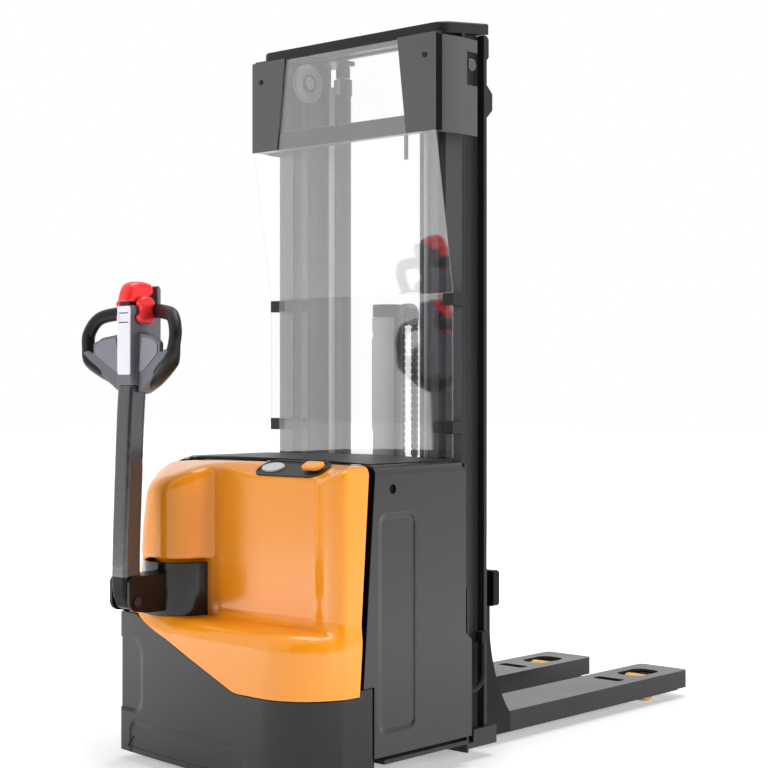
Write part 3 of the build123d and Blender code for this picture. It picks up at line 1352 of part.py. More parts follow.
# Free-lift cylinder on the inner mast, with its collar, side pipe and chain anchor
collar_radius = free_lift_radius + 2
pipe_radius = 9.0
anchor_half = 17.0
chain_inner = sheave_radius + running_gap
chain_rear_y = sheave_y - chain_inner - chain_thick / 2
chain_front_y = sheave_y + chain_inner + chain_thick / 2
barrel_low = inner_low + foot_tie_height
pipe_x = free_lift_x - free_lift_radius - pipe_radius + 3
with BuildPart() as free_lift_cylinder:
    with BuildSketch(Plane.XY.offset(barrel_low)):
        with Locations((free_lift_x, free_lift_y)):
            Circle(free_lift_radius)
    extrude(amount=free_lift_top - barrel_low)
    with BuildSketch(Plane.XY.offset(free_lift_top - 40)):
        with Locations((free_lift_x, free_lift_y)):
            Circle(collar_radius)
    extrude(amount=40)
    with BuildSketch(Plane.XY.offset(900)):
        with Locations((pipe_x, free_lift_y)):
            Circle(pipe_radius)
    extrude(amount=free_lift_top - 60 - 900)
    with BuildSketch(Plane.XY.offset(chain_anchor_z - 28)):
        with Locations((free_lift_x, free_lift_y)):
            Rectangle(2 * anchor_half, chain_rear_y + chain_thick / 2 + 3 - free_lift_y, align=(Align.CENTER, Align.MIN))
    extrude(amount=28)
    with BuildSketch(Plane.XY.offset(barrel_low + 20)):
        with Locations((free_lift_x, free_lift_y)):
            Circle(free_rod_radius + fit)
    extrude(amount=free_lift_top, mode=Mode.SUBTRACT)
free_lift_cylinder.part.label = "free_lift_cylinder"
export_step(free_lift_cylinder.part, "parts/free_lift_cylinder.step")

# Crosshead on the free-lift rod, carrying the chain sheave ahead of the barrel
sheave_pin = 8.0
sheave_flange = 32.0
sheave_width = chain_width + 10
crosshead_low = free_lift_top + 2
crosshead_high = sheave_z + 26
fork_sheet_x = sheave_width / 2 + 1
crosshead_cheek = 7.0
with BuildPart() as crosshead:
    with BuildSketch(Plane.XY.offset(100)):
        with Locations((free_lift_x, free_lift_y)):
            Circle(free_rod_radius)
    extrude(amount=crosshead_low - 100)
    with BuildSketch(Plane.XY.offset(crosshead_low)):
        with Locations((free_lift_x, free_lift_y)):
            Circle(free_lift_radius)
    extrude(amount=crosshead_high - crosshead_low)
    for side in (-1, 1):
        with BuildSketch(Plane.YZ.offset(free_lift_x + side * (fork_sheet_x + crosshead_cheek / 2))):
            with BuildLine():
                Polyline((free_lift_y, crosshead_low), (free_lift_y, crosshead_high), (sheave_y, crosshead_high - 8))
                ThreePointArc((sheave_y, crosshead_high - 8), (sheave_y + 16, sheave_z), (sheave_y, sheave_z - 16))
                Polyline((sheave_y, sheave_z - 16), (free_lift_y + free_lift_radius + 8, crosshead_low),
                         (free_lift_y, crosshead_low))
            make_face()
        extrude(amount=crosshead_cheek / 2, both=True)
    with BuildSketch(Plane.YZ.offset(free_lift_x)):
        with Locations((sheave_y, sheave_z)):
            Circle(sheave_pin)
    extrude(amount=fork_sheet_x + crosshead_cheek, both=True)
    with BuildSketch(Plane.YZ.offset(free_lift_x)):
        with Locations((sheave_y, sheave_z)):
            Circle(sheave_flange + 2)
            Circle(sheave_pin, mode=Mode.SUBTRACT)
    extrude(amount=fork_sheet_x, both=True, mode=Mode.SUBTRACT)
crosshead.part.label = "crosshead"
export_step(crosshead.part, "parts/crosshead.step")

with BuildPart() as chain_sheave:
    with BuildSketch(Plane.XY):
        with BuildLine():
            half = sheave_width / 2
            inner = chain_width / 2 + 1
            Polyline((-half, sheave_pin + fit), (-half, sheave_flange), (-inner, sheave_flange), (-inner, sheave_radius),
                     (inner, sheave_radius), (inner, sheave_flange), (half, sheave_flange), (half, sheave_pin + fit),
                     close=True)
        make_face()
    revolve(axis=Axis.X)
chain_sheave.part = Location((free_lift_x, sheave_y, sheave_z)) * chain_sheave.part
chain_sheave.part.label = "chain_sheave"
export_step(chain_sheave.part, "parts/chain_sheave.step")

# Lift chain: rear run up from the anchor, front run over the sheave and down to the carriage
with BuildPart() as chain_rear:
    with BuildSketch(Plane.XY.offset(chain_anchor_z)):
        with Locations((free_lift_x, chain_rear_y)):
            Rectangle(chain_width, chain_thick)
    extrude(amount=sheave_z - chain_anchor_z)
chain_rear.part.label = "chain_rear"
export_step(chain_rear.part, "parts/chain_rear.step")

with BuildPart() as chain_front:
    with BuildSketch(Plane.XY.offset(carriage_top)):
        with Locations((free_lift_x, chain_front_y)):
            Rectangle(chain_width, chain_thick)
    extrude(amount=sheave_z - carriage_top)
    with BuildSketch(Plane.YZ.offset(free_lift_x)):
        with Locations((sheave_y, sheave_z)):
            Circle(chain_inner + chain_thick)
            Circle(chain_inner, mode=Mode.SUBTRACT)
            Rectangle(100, 100, align=(Align.CENTER, Align.MAX), mode=Mode.SUBTRACT)
    extrude(amount=chain_width / 2, both=True)
chain_front.part.label = "chain_front"
export_step(chain_front.part, "parts/chain_front.step")

# Carriage: side arms with shoes in the inner rails, cross bar and lower plate
arm_x = (inner_x - 35, inner_x - 4)
bar_rear = carriage_face_y - carriage_plate
carriage_shoe_z = ((90.0, 170.0), (390.0, 470.0))
lower_plate = (100.0, 200.0, 20.0)
with BuildPart() as carriage_frame:
    with BuildSketch(Plane.XZ.offset(-carriage_face_y)) as bar:
        with Locations((0, carriage_bar_z)):
            Rectangle(2 * carriage_half_width, carriage_top - carriage_bar_z, align=(Align.CENTER, Align.MIN))
        fillet(bar.vertices(), 10)
    extrude(amount=carriage_plate)
    with BuildSketch(Plane.XZ.offset(-bar_rear)):
        with Locations((0, lower_plate[0])):
            Rectangle(2 * arm_x[1], lower_plate[1] - lower_plate[0], align=(Align.CENTER, Align.MIN))
    extrude(amount=lower_plate[2])
    for side in (-1, 1):
        with BuildSketch(Plane.YZ.offset(side * (arm_x[0] + arm_x[1]) / 2)):
            with BuildLine():
                Polyline((mast_mid_y, carriage_bottom), (bar_rear - 30, carriage_bottom), (bar_rear, carriage_bottom + 60),
                         (bar_rear, carriage_top), (mast_mid_y, carriage_top), close=True)
            make_face()
        extrude(amount=(arm_x[1] - arm_x[0]) / 2, both=True)
        for low, high in carriage_shoe_z:
            end = inner_x + inner_side_depth - slide_gap
            with BuildSketch(Plane.XY.offset(low)):
                with Locations((side * (arm_x[1] + end) / 2, mast_mid_y)):
                    Rectangle(end - arm_x[1], inner_depth - 2 * inner_flange - 2 * slide_gap)
            extrude(amount=high - low)
carriage_frame.part.label = "carriage_frame"
export_step(carriage_frame.part, "parts/carriage_frame.step")

# Forks: folded channels over the support legs, with heel shank, curved gussets and roller window
fork_tip_y = carriage_face_y + fork_length
fork_window = (96.0, 140.0)
fork_slot = (100.0, 40.0)
fork_slot_y = 668.0
tip_round = 18.0
for name, side in sides:
    middle = side * fork_center
    with BuildPart() as fork:
        with BuildSketch(Plane.XY.offset(fork_top)) as top:
            with Locations((middle, bar_rear)):
                Rectangle(fork_width, fork_tip_y - bar_rear, align=(Align.CENTER, Align.MIN))
            fillet(top.vertices().group_by(Axis.Y)[-1], tip_round)
        extrude(amount=-fork_sheet)
        with BuildSketch(Plane.XZ.offset(-carriage_face_y)):
            with Locations((middle, fork_top - fork_sheet)):
                Rectangle(fork_width, carriage_bar_z - fork_top + fork_sheet, align=(Align.CENTER, Align.MIN))
        extrude(amount=carriage_plate)
        for wall in (-1, 1):
            with BuildSketch(Plane.YZ.offset(middle + wall * (fork_width - fork_sheet) / 2)):
                with BuildLine():
                    Polyline((carriage_face_y, gusset_top), (bar_rear, gusset_top), (bar_rear, fork_heel_bottom),
                             (fork_tip_y - tip_round, fork_tip_bottom), (fork_tip_y - tip_round, fork_top),
                             (gusset_foot_y, fork_top))
                    ThreePointArc((gusset_foot_y, fork_top), (-30, 195), (carriage_face_y, gusset_top))
                make_face()
            extrude(amount=fork_sheet / 2, both=True)
        with BuildSketch(Plane.XY.offset(fork_top)) as tip:
            with Locations((middle, fork_tip_y)):
                Rectangle(fork_width, 2 * tip_round, align=(Align.CENTER, Align.MAX))
            fillet(tip.vertices().group_by(Axis.Y)[-1], tip_round)
            with Locations((middle, fork_tip_y - fork_sheet)):
                Rectangle(fork_width - 2 * fork_sheet, 2 * tip_round, align=(Align.CENTER, Align.MAX),
                          mode=Mode.SUBTRACT)
        extrude(amount=fork_tip_bottom - fork_top)
        with BuildSketch(Plane.XY.offset(fork_top)):
            with Locations((middle, load_wheel_y)):
                RectangleRounded(*fork_window, 34)
            with Locations((middle, fork_slot_y)):
                RectangleRounded(*fork_slot, 10)
        extrude(amount=-fork_sheet, mode=Mode.SUBTRACT)
    fork.part.label = f"fork_{name}"
    export_step(fork.part, f"parts/fork_{name}.step")
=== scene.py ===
"""Pedestrian pallet stacker with initial lift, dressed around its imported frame.

The sections follow the truck as it is put together: drive section, tiller, lift frame, mast, carriage.
Metres, +Z up, +Y towards the fork tips, +X to the truck's right.
"""
import math

import bmesh
import bpy
import numpy as np
from mathutils import Matrix, Vector


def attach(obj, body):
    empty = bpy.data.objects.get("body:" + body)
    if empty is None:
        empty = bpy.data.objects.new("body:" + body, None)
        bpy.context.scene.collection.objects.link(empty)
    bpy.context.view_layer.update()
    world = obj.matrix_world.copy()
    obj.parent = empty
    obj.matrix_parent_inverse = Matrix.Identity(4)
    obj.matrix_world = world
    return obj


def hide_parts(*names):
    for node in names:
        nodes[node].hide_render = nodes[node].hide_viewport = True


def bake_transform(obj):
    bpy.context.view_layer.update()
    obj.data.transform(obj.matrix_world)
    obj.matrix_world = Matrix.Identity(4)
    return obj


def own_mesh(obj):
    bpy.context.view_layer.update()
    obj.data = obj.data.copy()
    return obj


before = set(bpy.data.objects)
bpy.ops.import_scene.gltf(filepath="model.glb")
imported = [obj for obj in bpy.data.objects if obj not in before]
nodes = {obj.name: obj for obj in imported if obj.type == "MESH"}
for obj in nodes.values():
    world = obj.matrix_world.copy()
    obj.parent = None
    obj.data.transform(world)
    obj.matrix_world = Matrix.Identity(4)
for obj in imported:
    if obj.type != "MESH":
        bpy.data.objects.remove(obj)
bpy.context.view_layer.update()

# Studio: a level camera at chest height behind the truck's right rear corner, a pale floor that runs into
# a white room, and large soft lamps. None of it belongs to the truck.
scene = bpy.context.scene
scene.view_settings.view_transform = "Standard"
camera_place = Vector((3.2833, -3.8402, 1.0333))
camera_yaw = math.radians(42.0)
film_width, focal_pixels, picture_pixels = 36.0, 1691.0, 768.0
camera_data = bpy.data.cameras.new("studio_camera")
camera_data.sensor_width = film_width
camera_data.lens = film_width * focal_pixels / picture_pixels
camera = bpy.data.objects.new("studio_camera", camera_data)
camera.location = camera_place
camera.rotation_euler = (math.radians(90.0), 0.0, camera_yaw)
scene.collection.objects.link(camera)
scene.camera = camera
mode_of = {"ShaderNodeMix": "data_type", "ShaderNodeMapRange": "interpolation_type", "ShaderNodeGroup": "node_tree",
           "GeometryNodeSetShadeSmooth": "domain", "GeometryNodeResampleCurve": "mode"}


def node(tree, kind, mode=None, **values):
    """A new node with its mode or group and the values of its inputs; a blank in an input's name is written _."""
    made = tree.nodes.new(kind)
    if mode:
        setattr(made, mode_of.get(kind, "operation"), mode)
    for name, value in values.items():
        made.inputs[name.replace("_", " ")].default_value = value
    return made


def wire(tree, *links):
    """Links of a tree: a node and the name or number of its output, then a node and that of its input."""
    for start, out, end, into in links:
        tree.links.new(start.outputs[out], end.inputs[into])


def new_material(name, **values):
    """A node material with its tree and its Principled shader, whose inputs take the values."""
    material = bpy.data.materials.new(name)
    material.use_nodes = True
    tree = material.node_tree
    tree.nodes.clear()
    output = node(tree, "ShaderNodeOutputMaterial")
    shader = node(tree, "ShaderNodeBsdfPrincipled", **values)
    wire(tree, (shader, "BSDF", output, "Surface"))
    return material, tree, shader


def seen_or_mirrored(tree):
    """A node that is 1 for rays from the camera or from gloss, and the light path itself."""
    path = node(tree, "ShaderNodeLightPath")
    either = node(tree, "ShaderNodeMath", "MAXIMUM")
    wire(tree, (path, "Is Camera Ray", either, 0), (path, "Is Glossy Ray", either, 1))
    return either, path


def linear(red, green, blue):
    """A display colour of 0 to 255 as linear light."""
    def one(value):
        value = value / 255.0
        return value / 12.92 if value <= 0.04045 else ((value + 0.055) / 1.055) ** 2.4
    return one(red), one(green), one(blue), 1.0


def link_mesh(name, mesh):
    """A mesh as a piece of the scene."""
    piece = bpy.data.objects.new(name, mesh)
    scene.collection.objects.link(piece)
    return piece


white = (1.0, 1.0, 1.0, 1.0)
floor_material, floor_tree, floor_shader = new_material("studio_floor", Base_Color=(0.8, 0.8, 0.8, 1.0),
                                                        Roughness=0.9, Emission_Color=white)
floor_seen = seen_or_mirrored(floor_tree)[0]
# The floor glows for camera and gloss rays. This is painted light that whitens it: the glow is weakest within 1 m of
# the truck's middle and full from 2.6 m, so that the lamps' shadows show near the truck.
floor_place = node(floor_tree, "ShaderNodeTexCoord")
floor_far = node(floor_tree, "ShaderNodeVectorMath", "LENGTH")
floor_fade = node(floor_tree, "ShaderNodeMapRange", From_Min=1.0, From_Max=2.6, To_Min=0.34, To_Max=1.0)
floor_painted_glow = node(floor_tree, "ShaderNodeMath", "MULTIPLY")
wire(floor_tree, (floor_place, "Object", floor_far, 0), (floor_far, "Value", floor_fade, "Value"),
     (floor_fade, "Result", floor_painted_glow, 1), (floor_seen, 0, floor_painted_glow, 0),
     (floor_painted_glow, 0, floor_shader, "Emission Strength"))
reach = 30.0
floor_corners = [(-reach, -reach, 0), (reach, -reach, 0), (reach, reach, 0), (-reach, reach, 0)]
floor_mesh = bpy.data.meshes.new("studio_floor")
floor_mesh.from_pydata(floor_corners, [], [(0, 1, 2, 3)])
floor_mesh.materials.append(floor_material)
floor = link_mesh("studio_floor", floor_mesh)

room = bpy.data.worlds.new("studio_room")
scene.world = room
room.use_nodes = True
room_tree = room.node_tree
room_tree.nodes.clear()
room_out = node(room_tree, "ShaderNodeOutputWorld")
room_light = node(room_tree, "ShaderNodeBackground", Color=white, Strength=0.13)
room_white = node(room_tree, "ShaderNodeBackground", Color=white)
room_mix = node(room_tree, "ShaderNodeMixShader")
room_seen, room_path = seen_or_mirrored(room_tree)
room_place = node(room_tree, "ShaderNodeTexCoord")
dark_side = node(room_tree, "ShaderNodeVectorMath", "DOT_PRODUCT")
dark_side.inputs[1].default_value = (0.799, -0.602, 0.0)
dark_edge = node(room_tree, "ShaderNodeMapRange", "SMOOTHSTEP", From_Min=0.55, From_Max=0.80)
dark_share = node(room_tree, "ShaderNodeMath", "MULTIPLY")
white_share = node(room_tree, "ShaderNodeMath", "SUBTRACT")
white_share.inputs[0].default_value = 1.0
wire(room_tree, (room_place, "Generated", dark_side, 0), (dark_side, "Value", dark_edge, "Value"),
     (dark_edge, "Result", dark_share, 0), (room_path, "Is Glossy Ray", dark_share, 1),
     (dark_share, 0, white_share, 1), (white_share, 0, room_white, "Strength"), (room_seen, 0, room_mix, 0),
     (room_light, 0, room_mix, 1), (room_white, 0, room_mix, 2), (room_mix, 0, room_out, "Surface"))


def lamp(name, place, target, size, power, spread=180.0, mirrored=False):
    """A soft rectangular lamp at place that looks at target; gloss shows it only where mirrored is set."""
    data = bpy.data.lights.new(name, "AREA")
    data.shape = "RECTANGLE"
    data.size, data.size_y = size
    data.energy = power
    data.spread = math.radians(spread)
    light = bpy.data.objects.new(name, data)
    light.location = place
    light.visible_glossy = mirrored
    light.rotation_euler = (Vector(target) - Vector(place)).to_track_quat("-Z", "Y").to_euler()
    scene.collection.objects.link(light)


lamp("lamp_rear", (-3.4, -5.0, 1.7), (0, -0.7, 0.7), (3.0, 2.6), 250.0)
lamp("lamp_right", (5.0, -0.4, 1.4), (0, -0.7, 0.6), (2.6, 2.0), 100.0, 120.0)
lamp("lamp_front", (-3.2, 5.0, 2.6), (0, 0.2, 0.9), (3.0, 2.6), 150.0)
lamp("lamp_top", (0.5, 0.0, 6.0), (0, 0, 0), (4.0, 4.0), 210.0, mirrored=True)

# Skirt: the lower shell of the drive section, pressed from sheet with two shallow panels and finished in a
# fine dark grey texture coat. It hangs on the chassis frame and hides the drive wheel and the caster.


def new_group(name, kind, inputs, outputs):
    """A node group with its two end nodes. A socket's start value tells its type, and None is geometry."""
    types = {float: "NodeSocketFloat", tuple: "NodeSocketVector", type(None): "NodeSocketGeometry"}
    group = bpy.data.node_groups.new(name, kind)
    for way, sockets in (("INPUT", inputs), ("OUTPUT", outputs)):
        for title, value in sockets.items():
            socket = group.interface.new_socket(title, in_out=way, socket_type=types[type(value)])
            if value is not None:
                socket.default_value = value
    return group, node(group, "NodeGroupInput"), node(group, "NodeGroupOutput")


def surface_group():
    """Fine grain, broad mottling and floor dust from Object coordinates, shared by every finish."""
    group, inputs, outputs = new_group("surface_variation", "ShaderNodeTree",
                                       {"Grain Scale": 900.0, "Mottle Scale": 6.0, "Dust Height": 0.25},
                                       {"Grain": 0.0, "Mottle": 0.0, "Dust": 0.0})
    place = node(group, "ShaderNodeTexCoord")
    grain = node(group, "ShaderNodeTexNoise", Detail=2.0)
    mottle = node(group, "ShaderNodeTexNoise", Detail=4.0, Roughness=0.55)
    split = node(group, "ShaderNodeSeparateXYZ")
    low = node(group, "ShaderNodeMapRange", To_Min=1.0, To_Max=0.0)
    settle = node(group, "ShaderNodeMath", "MULTIPLY")
    wire(group, (place, "Object", grain, "Vector"), (inputs, "Grain Scale", grain, "Scale"),
         (place, "Object", mottle, "Vector"), (inputs, "Mottle Scale", mottle, "Scale"), (place, "Object", split, 0),
         (split, "Z", low, "Value"), (inputs, "Dust Height", low, "From Max"), (low, "Result", settle, 0),
         (mottle, "Fac", settle, 1), (grain, "Fac", outputs, "Grain"), (mottle, "Fac", outputs, "Mottle"),
         (settle, 0, outputs, "Dust"))
    return group


surface_variation = surface_group()


def pressing_group():
    """Height of a sheet round a pressed panel: a rounded box in Object coordinates, low inside it."""
    origin, half_slope = (0.0, 0.0, 0.0), 0.009
    group, inputs, outputs = new_group("pressed_panel", "ShaderNodeTree",
                                       {"Middle": origin, "Half": origin, "Radius": 0.0}, {"Height": 0.0})
    last, result = node(group, "ShaderNodeTexCoord"), "Object"
    for operation, other in (("SUBTRACT", "Middle"), ("ABSOLUTE", None), ("SUBTRACT", "Half"), ("MAXIMUM", None),
                             ("LENGTH", None)):
        step = node(group, "ShaderNodeVectorMath", operation)
        wire(group, (last, result, step, 0))
        if other:
            wire(group, (inputs, other, step, 1))
        last, result = step, "Value" if operation == "LENGTH" else "Vector"
    away = node(group, "ShaderNodeMath", "SUBTRACT")
    slope = node(group, "ShaderNodeMapRange", "SMOOTHSTEP", From_Min=-half_slope, From_Max=half_slope)
    wire(group, (last, result, away, 0), (inputs, "Radius", away, 1), (away, 0, slope, "Value"),
         (slope, "Result", outputs, "Height"))
    return group


pressed_panel = pressing_group()
dust_colour, press_depth, grain_depth, rough_drift, dullest_gloss = (168, 164, 158), 0.006, 0.001, 0.06, 0.1


def finish(name, colour, rough, grain=900.0, depth=0.02, mottle=0.06, dust=0.12, coat=0.0, metal=0.0, gloss=0.3,
           parted=None, pressed=()):
    """A painted, moulded or machined finish: colour and roughness drift, a fine grain and dust low down.

    parted is an axis, a limit on it and the second colour that lies below the limit; pressed lists the
    middle, half size and corner radius of each panel pressed into the sheet.
    """
    material, tree, shader = new_material(name, Metallic=metal, Specular_IOR_Level=gloss, Coat_Weight=coat,
                                          Coat_Roughness=0.08)
    base = linear(*colour)[:3]
    vary = node(tree, "ShaderNodeGroup", surface_variation, Grain_Scale=grain)
    tint = node(tree, "ShaderNodeMix", "RGBA", A=(*(c * (1.0 - mottle) for c in base), 1.0),
                B=(*(min(1.0, c * (1.0 + mottle)) for c in base), 1.0))
    paint = tint
    if parted:
        axis, limit, second = parted
        split = node(tree, "ShaderNodeSeparateXYZ")
        under = node(tree, "ShaderNodeMath", "LESS_THAN")
        under.inputs[1].default_value = limit
        two_tone = node(tree, "ShaderNodeMix", "RGBA", B=linear(*second))
        duller = node(tree, "ShaderNodeMapRange", To_Min=gloss, To_Max=min(gloss, dullest_gloss))
        wire(tree, (node(tree, "ShaderNodeTexCoord"), "Object", split, 0), (split, axis, under, 0),
             (under, 0, two_tone, "Factor"), (paint, "Result", two_tone, "A"), (under, 0, duller, "Value"),
             (duller, "Result", shader, "Specular IOR Level"))
        paint = two_tone
    dusty = node(tree, "ShaderNodeMix", "RGBA", B=linear(*dust_colour))
    settle = node(tree, "ShaderNodeMath", "MULTIPLY")
    settle.inputs[1].default_value = dust
    dull = node(tree, "ShaderNodeMapRange", To_Min=max(0.02, rough - rough_drift),
                To_Max=min(1.0, rough + rough_drift))
    bump = node(tree, "ShaderNodeBump", Strength=depth, Distance=grain_depth)
    wire(tree, (vary, "Mottle", tint, "Factor"), (vary, "Dust", settle, 0), (settle, 0, dusty, "Factor"),
         (paint, "Result", dusty, "A"), (dusty, "Result", shader, "Base Color"), (vary, "Mottle", dull, "Value"),
         (dull, "Result", shader, "Roughness"), (vary, "Grain", bump, "Height"))
    relief = bump
    for middle, half, radius in pressed:
        panel = node(tree, "ShaderNodeGroup", pressed_panel, Middle=middle, Half=[size - radius for size in half],
                     Radius=radius)
        sunk = node(tree, "ShaderNodeBump", Strength=1.0, Distance=press_depth)
        wire(tree, (panel, "Height", sunk, "Height"), (relief, "Normal", sunk, "Normal"))
        relief = sunk
    wire(tree, (relief, "Normal", shader, "Normal"))
    return material


weld_gap = 0.00002


def soft_edge_tree():
    """Geometry Nodes that merge a CAD node's loose triangles and shade it smooth up to a crease angle."""
    tree, inputs, outputs = new_group("smooth_to_crease", "GeometryNodeTree",
                                      {"Geometry": None, "Crease": math.radians(32.0)}, {"Geometry": None})
    merge = node(tree, "GeometryNodeMergeByDistance", Distance=weld_gap)
    faces = node(tree, "GeometryNodeSetShadeSmooth", "FACE")
    edges = node(tree, "GeometryNodeSetShadeSmooth", "EDGE")
    angle = node(tree, "GeometryNodeInputMeshEdgeAngle")
    below = node(tree, "FunctionNodeCompare", "LESS_THAN")
    wire(tree, (inputs, "Geometry", merge, "Geometry"), (merge, "Geometry", faces, "Geometry"),
         (faces, "Geometry", edges, "Geometry"), (angle, "Unsigned Angle", below, "A"),
         (inputs, "Crease", below, "B"), (below, "Result", edges, "Shade Smooth"),
         (edges, "Geometry", outputs, "Geometry"))
    return tree


smooth_to_crease = soft_edge_tree()


def painted(name, material):
    """A CAD node with its finish and its triangles joined, ready for modifiers."""
    solid = nodes[name]
    solid.data.materials.clear()
    solid.data.materials.append(material)
    solid.modifiers.new("join_faces", "WELD").merge_threshold = weld_gap
    return solid


def dress(names, material, edge=0.0015):
    """Gives CAD nodes their finish, and rounds their edges to the small radius a folded or cast edge has."""
    for name in names.split():
        solid = painted(name, material)
        if edge:
            flat = solid.modifiers.new("flat_faces", "DECIMATE")
            flat.decimate_type = "DISSOLVE"
            flat.angle_limit = math.radians(0.8)
            round_edge = solid.modifiers.new("round_edges", "BEVEL")
            round_edge.width = edge
            round_edge.segments = 2
            round_edge.limit_method = "ANGLE"
            round_edge.angle_limit = math.radians(34.0)
            round_edge.use_clamp_overlap = True
        solid.modifiers.new("smooth", "NODES").node_group = smooth_to_crease
        flat_light = solid.modifiers.new("flat_light", "WEIGHTED_NORMAL")
        flat_light.keep_sharp = True
        flat_light.weight = 100


skirt_presses = (((-0.400, -0.8, 0.238), (0.120, 9.0, 0.0975), 0.04),
                 ((-0.080, -0.9, 0.045), (0.255, 9.0, 0.065), 0.03))
skirt_finish = finish("grey_texture_coat", (22, 22, 23), 0.26, grain=700.0, depth=0.015, dust=0.02, gloss=0.38,
                      pressed=skirt_presses)
dress("skirt", skirt_finish)

# Hood: the orange moulded cover. Its skin is drawn as a distance field, so that wall, column, pillar, apron,
# shoulder and panel scoop run into each other with moulded radii, and is then trimmed at skirt and seam.
hood_half, hood_top, shell = 0.400, 0.826, 0.005
wall_y, apron_top = -0.776, 0.414
column_x, column_y, column_radius = -0.225, -0.760, 0.118
pillar_x, pillar_y, pillar_radius = 0.352, -0.742, 0.048
drum_room, slot_middle, slot_half = 0.160, 0.489, 0.077
stem_x, stem_y, stem_radius = 0.248, -0.733, 0.013
scoop_base, scoop_rise, scoop_left, scoop_right = 0.792, 0.5116, 0.060, 0.285
shoulder = ((-0.130, -0.760, hood_top), (0.14, 0.36), 1.07)
left_corner = ((-0.400, -0.738, 0.749), (2.6, 2.3), 3.6)
column_fillet, pillar_fillet, apron_fillet = 0.030, 0.036, 0.024
plan_edge, top_edge, apron_edge, shoulder_edge, corner_edge, scoop_edge, slot_edge = (
    0.020, 0.028, 0.050, 0.030, 0.060, 0.011, 0.004)
seam_top, seam_low = (-0.688, 0.826), (-0.733, 0.265)
skirt_line = ((-0.42, 0.407), (-0.31, 0.407), (0.13, 0.249), (0.42, 0.249))


def arc_points(first, middle, last, count):
    """Points on the circle through three plan points."""
    a, b, c = (complex(*p) for p in (first, middle, last))
    w = (c - a) / (b - a)
    centre = (b - a) * (w - abs(w) ** 2) / (2j * w.imag) + a
    turn = np.angle((c - centre) / (a - centre))
    spokes = [centre + (a - centre) * np.exp(1j * turn * i / (count - 1)) for i in range(count)]
    return [(p.real, p.imag) for p in spokes], centre


def drive_plan():
    """Plan of the drive section: bowed rear, wide right corner, small left corner."""
    turn, end = (0.230, -0.914), (hood_half, -0.785)
    rear, centre = arc_points((-hood_half, -0.850), (-0.081, -0.891), turn, 24)
    spoke = complex(*turn) - centre
    along = spoke / abs(spoke) * 1j
    chord = complex(*end) - complex(*turn)
    middle = complex(*turn) + chord / 2
    bulge = abs(chord) / 2 * np.tan(np.angle(chord / along) / 2)
    middle += -1j * chord / abs(chord) * bulge
    corner, centre = arc_points(turn, (middle.real, middle.imag), end, 14)
    return np.array(rear + corner[1:] + [(hood_half, -0.60), (-hood_half, -0.60)])


plan = drive_plan()


def plan_distance(x, y):
    """Signed distance in plan from the drive section's outline, negative inside."""
    nearest = np.full(x.shape, 9.0)
    inside = np.zeros(x.shape, bool)
    for (ax, ay), (bx, by) in zip(plan, np.roll(plan, -1, axis=0)):
        ex, ey = bx - ax, by - ay
        t = np.clip(((x - ax) * ex + (y - ay) * ey) / (ex * ex + ey * ey), 0.0, 1.0)
        nearest = np.minimum(nearest, np.hypot(x - ax - t * ex, y - ay - t * ey))
        if ey:
            inside ^= ((ay > y) != (by > y)) & (x < ax + ex * (y - ay) / ey)
    return np.where(inside, -nearest, nearest)


def joined(a, b, radius):
    """Union of two distances with a fillet."""
    h = np.maximum(radius - np.abs(a - b), 0.0) / radius
    return np.minimum(a, b) - h * h * radius / 4


def trimmed(a, b, radius):
    """Intersection of two distances with a rounded edge."""
    return -joined(-a, -b, radius)


def above(x, y, z, slant):
    """Distance above a slanted plane: a point on it, its rise along X and Y and the length of its normal."""
    (at_x, at_y, at_z), (rise_x, rise_y), normal = slant
    return (z - at_z - rise_x * (x - at_x) - rise_y * (y - at_y)) / normal


def hood_distance(x, y, z, outline):
    """Signed distance to the hood's outside; outline is the plan distance at x, y."""
    from_column = np.hypot(x - column_x, y - column_y)
    wall = np.maximum(wall_y - y, np.abs(x) - hood_half)
    column = from_column - column_radius
    pillar = np.hypot(x - pillar_x, y - pillar_y) - pillar_radius
    upper = joined(joined(wall, column, column_fillet), pillar, pillar_fillet)
    upper = trimmed(trimmed(upper, outline, plan_edge), z - hood_top, top_edge)
    form = joined(upper, trimmed(outline, z - apron_top, apron_edge), apron_fillet)
    form = trimmed(form, above(x, y, z, shoulder), shoulder_edge)
    form = trimmed(form, above(x, y, z, left_corner), corner_edge)
    left, right = np.maximum(scoop_left - x, 0.0) / 0.07, np.maximum(x - scoop_right, 0.0) / 0.05
    flank = 0.020 * (left ** 2 / (1 + left) + right ** 2 / (1 + right))
    scoop = (scoop_base + scoop_rise * (y - wall_y) + flank - z) / 1.14
    form = trimmed(form, -scoop, scoop_edge)
    slot = np.maximum(from_column - drum_room, np.maximum(y - wall_y, np.abs(z - slot_middle) - slot_half))
    stem_hole = np.hypot(x - stem_x, y - stem_y) - stem_radius
    return np.maximum(trimmed(form, -slot, slot_edge), -stem_hole)


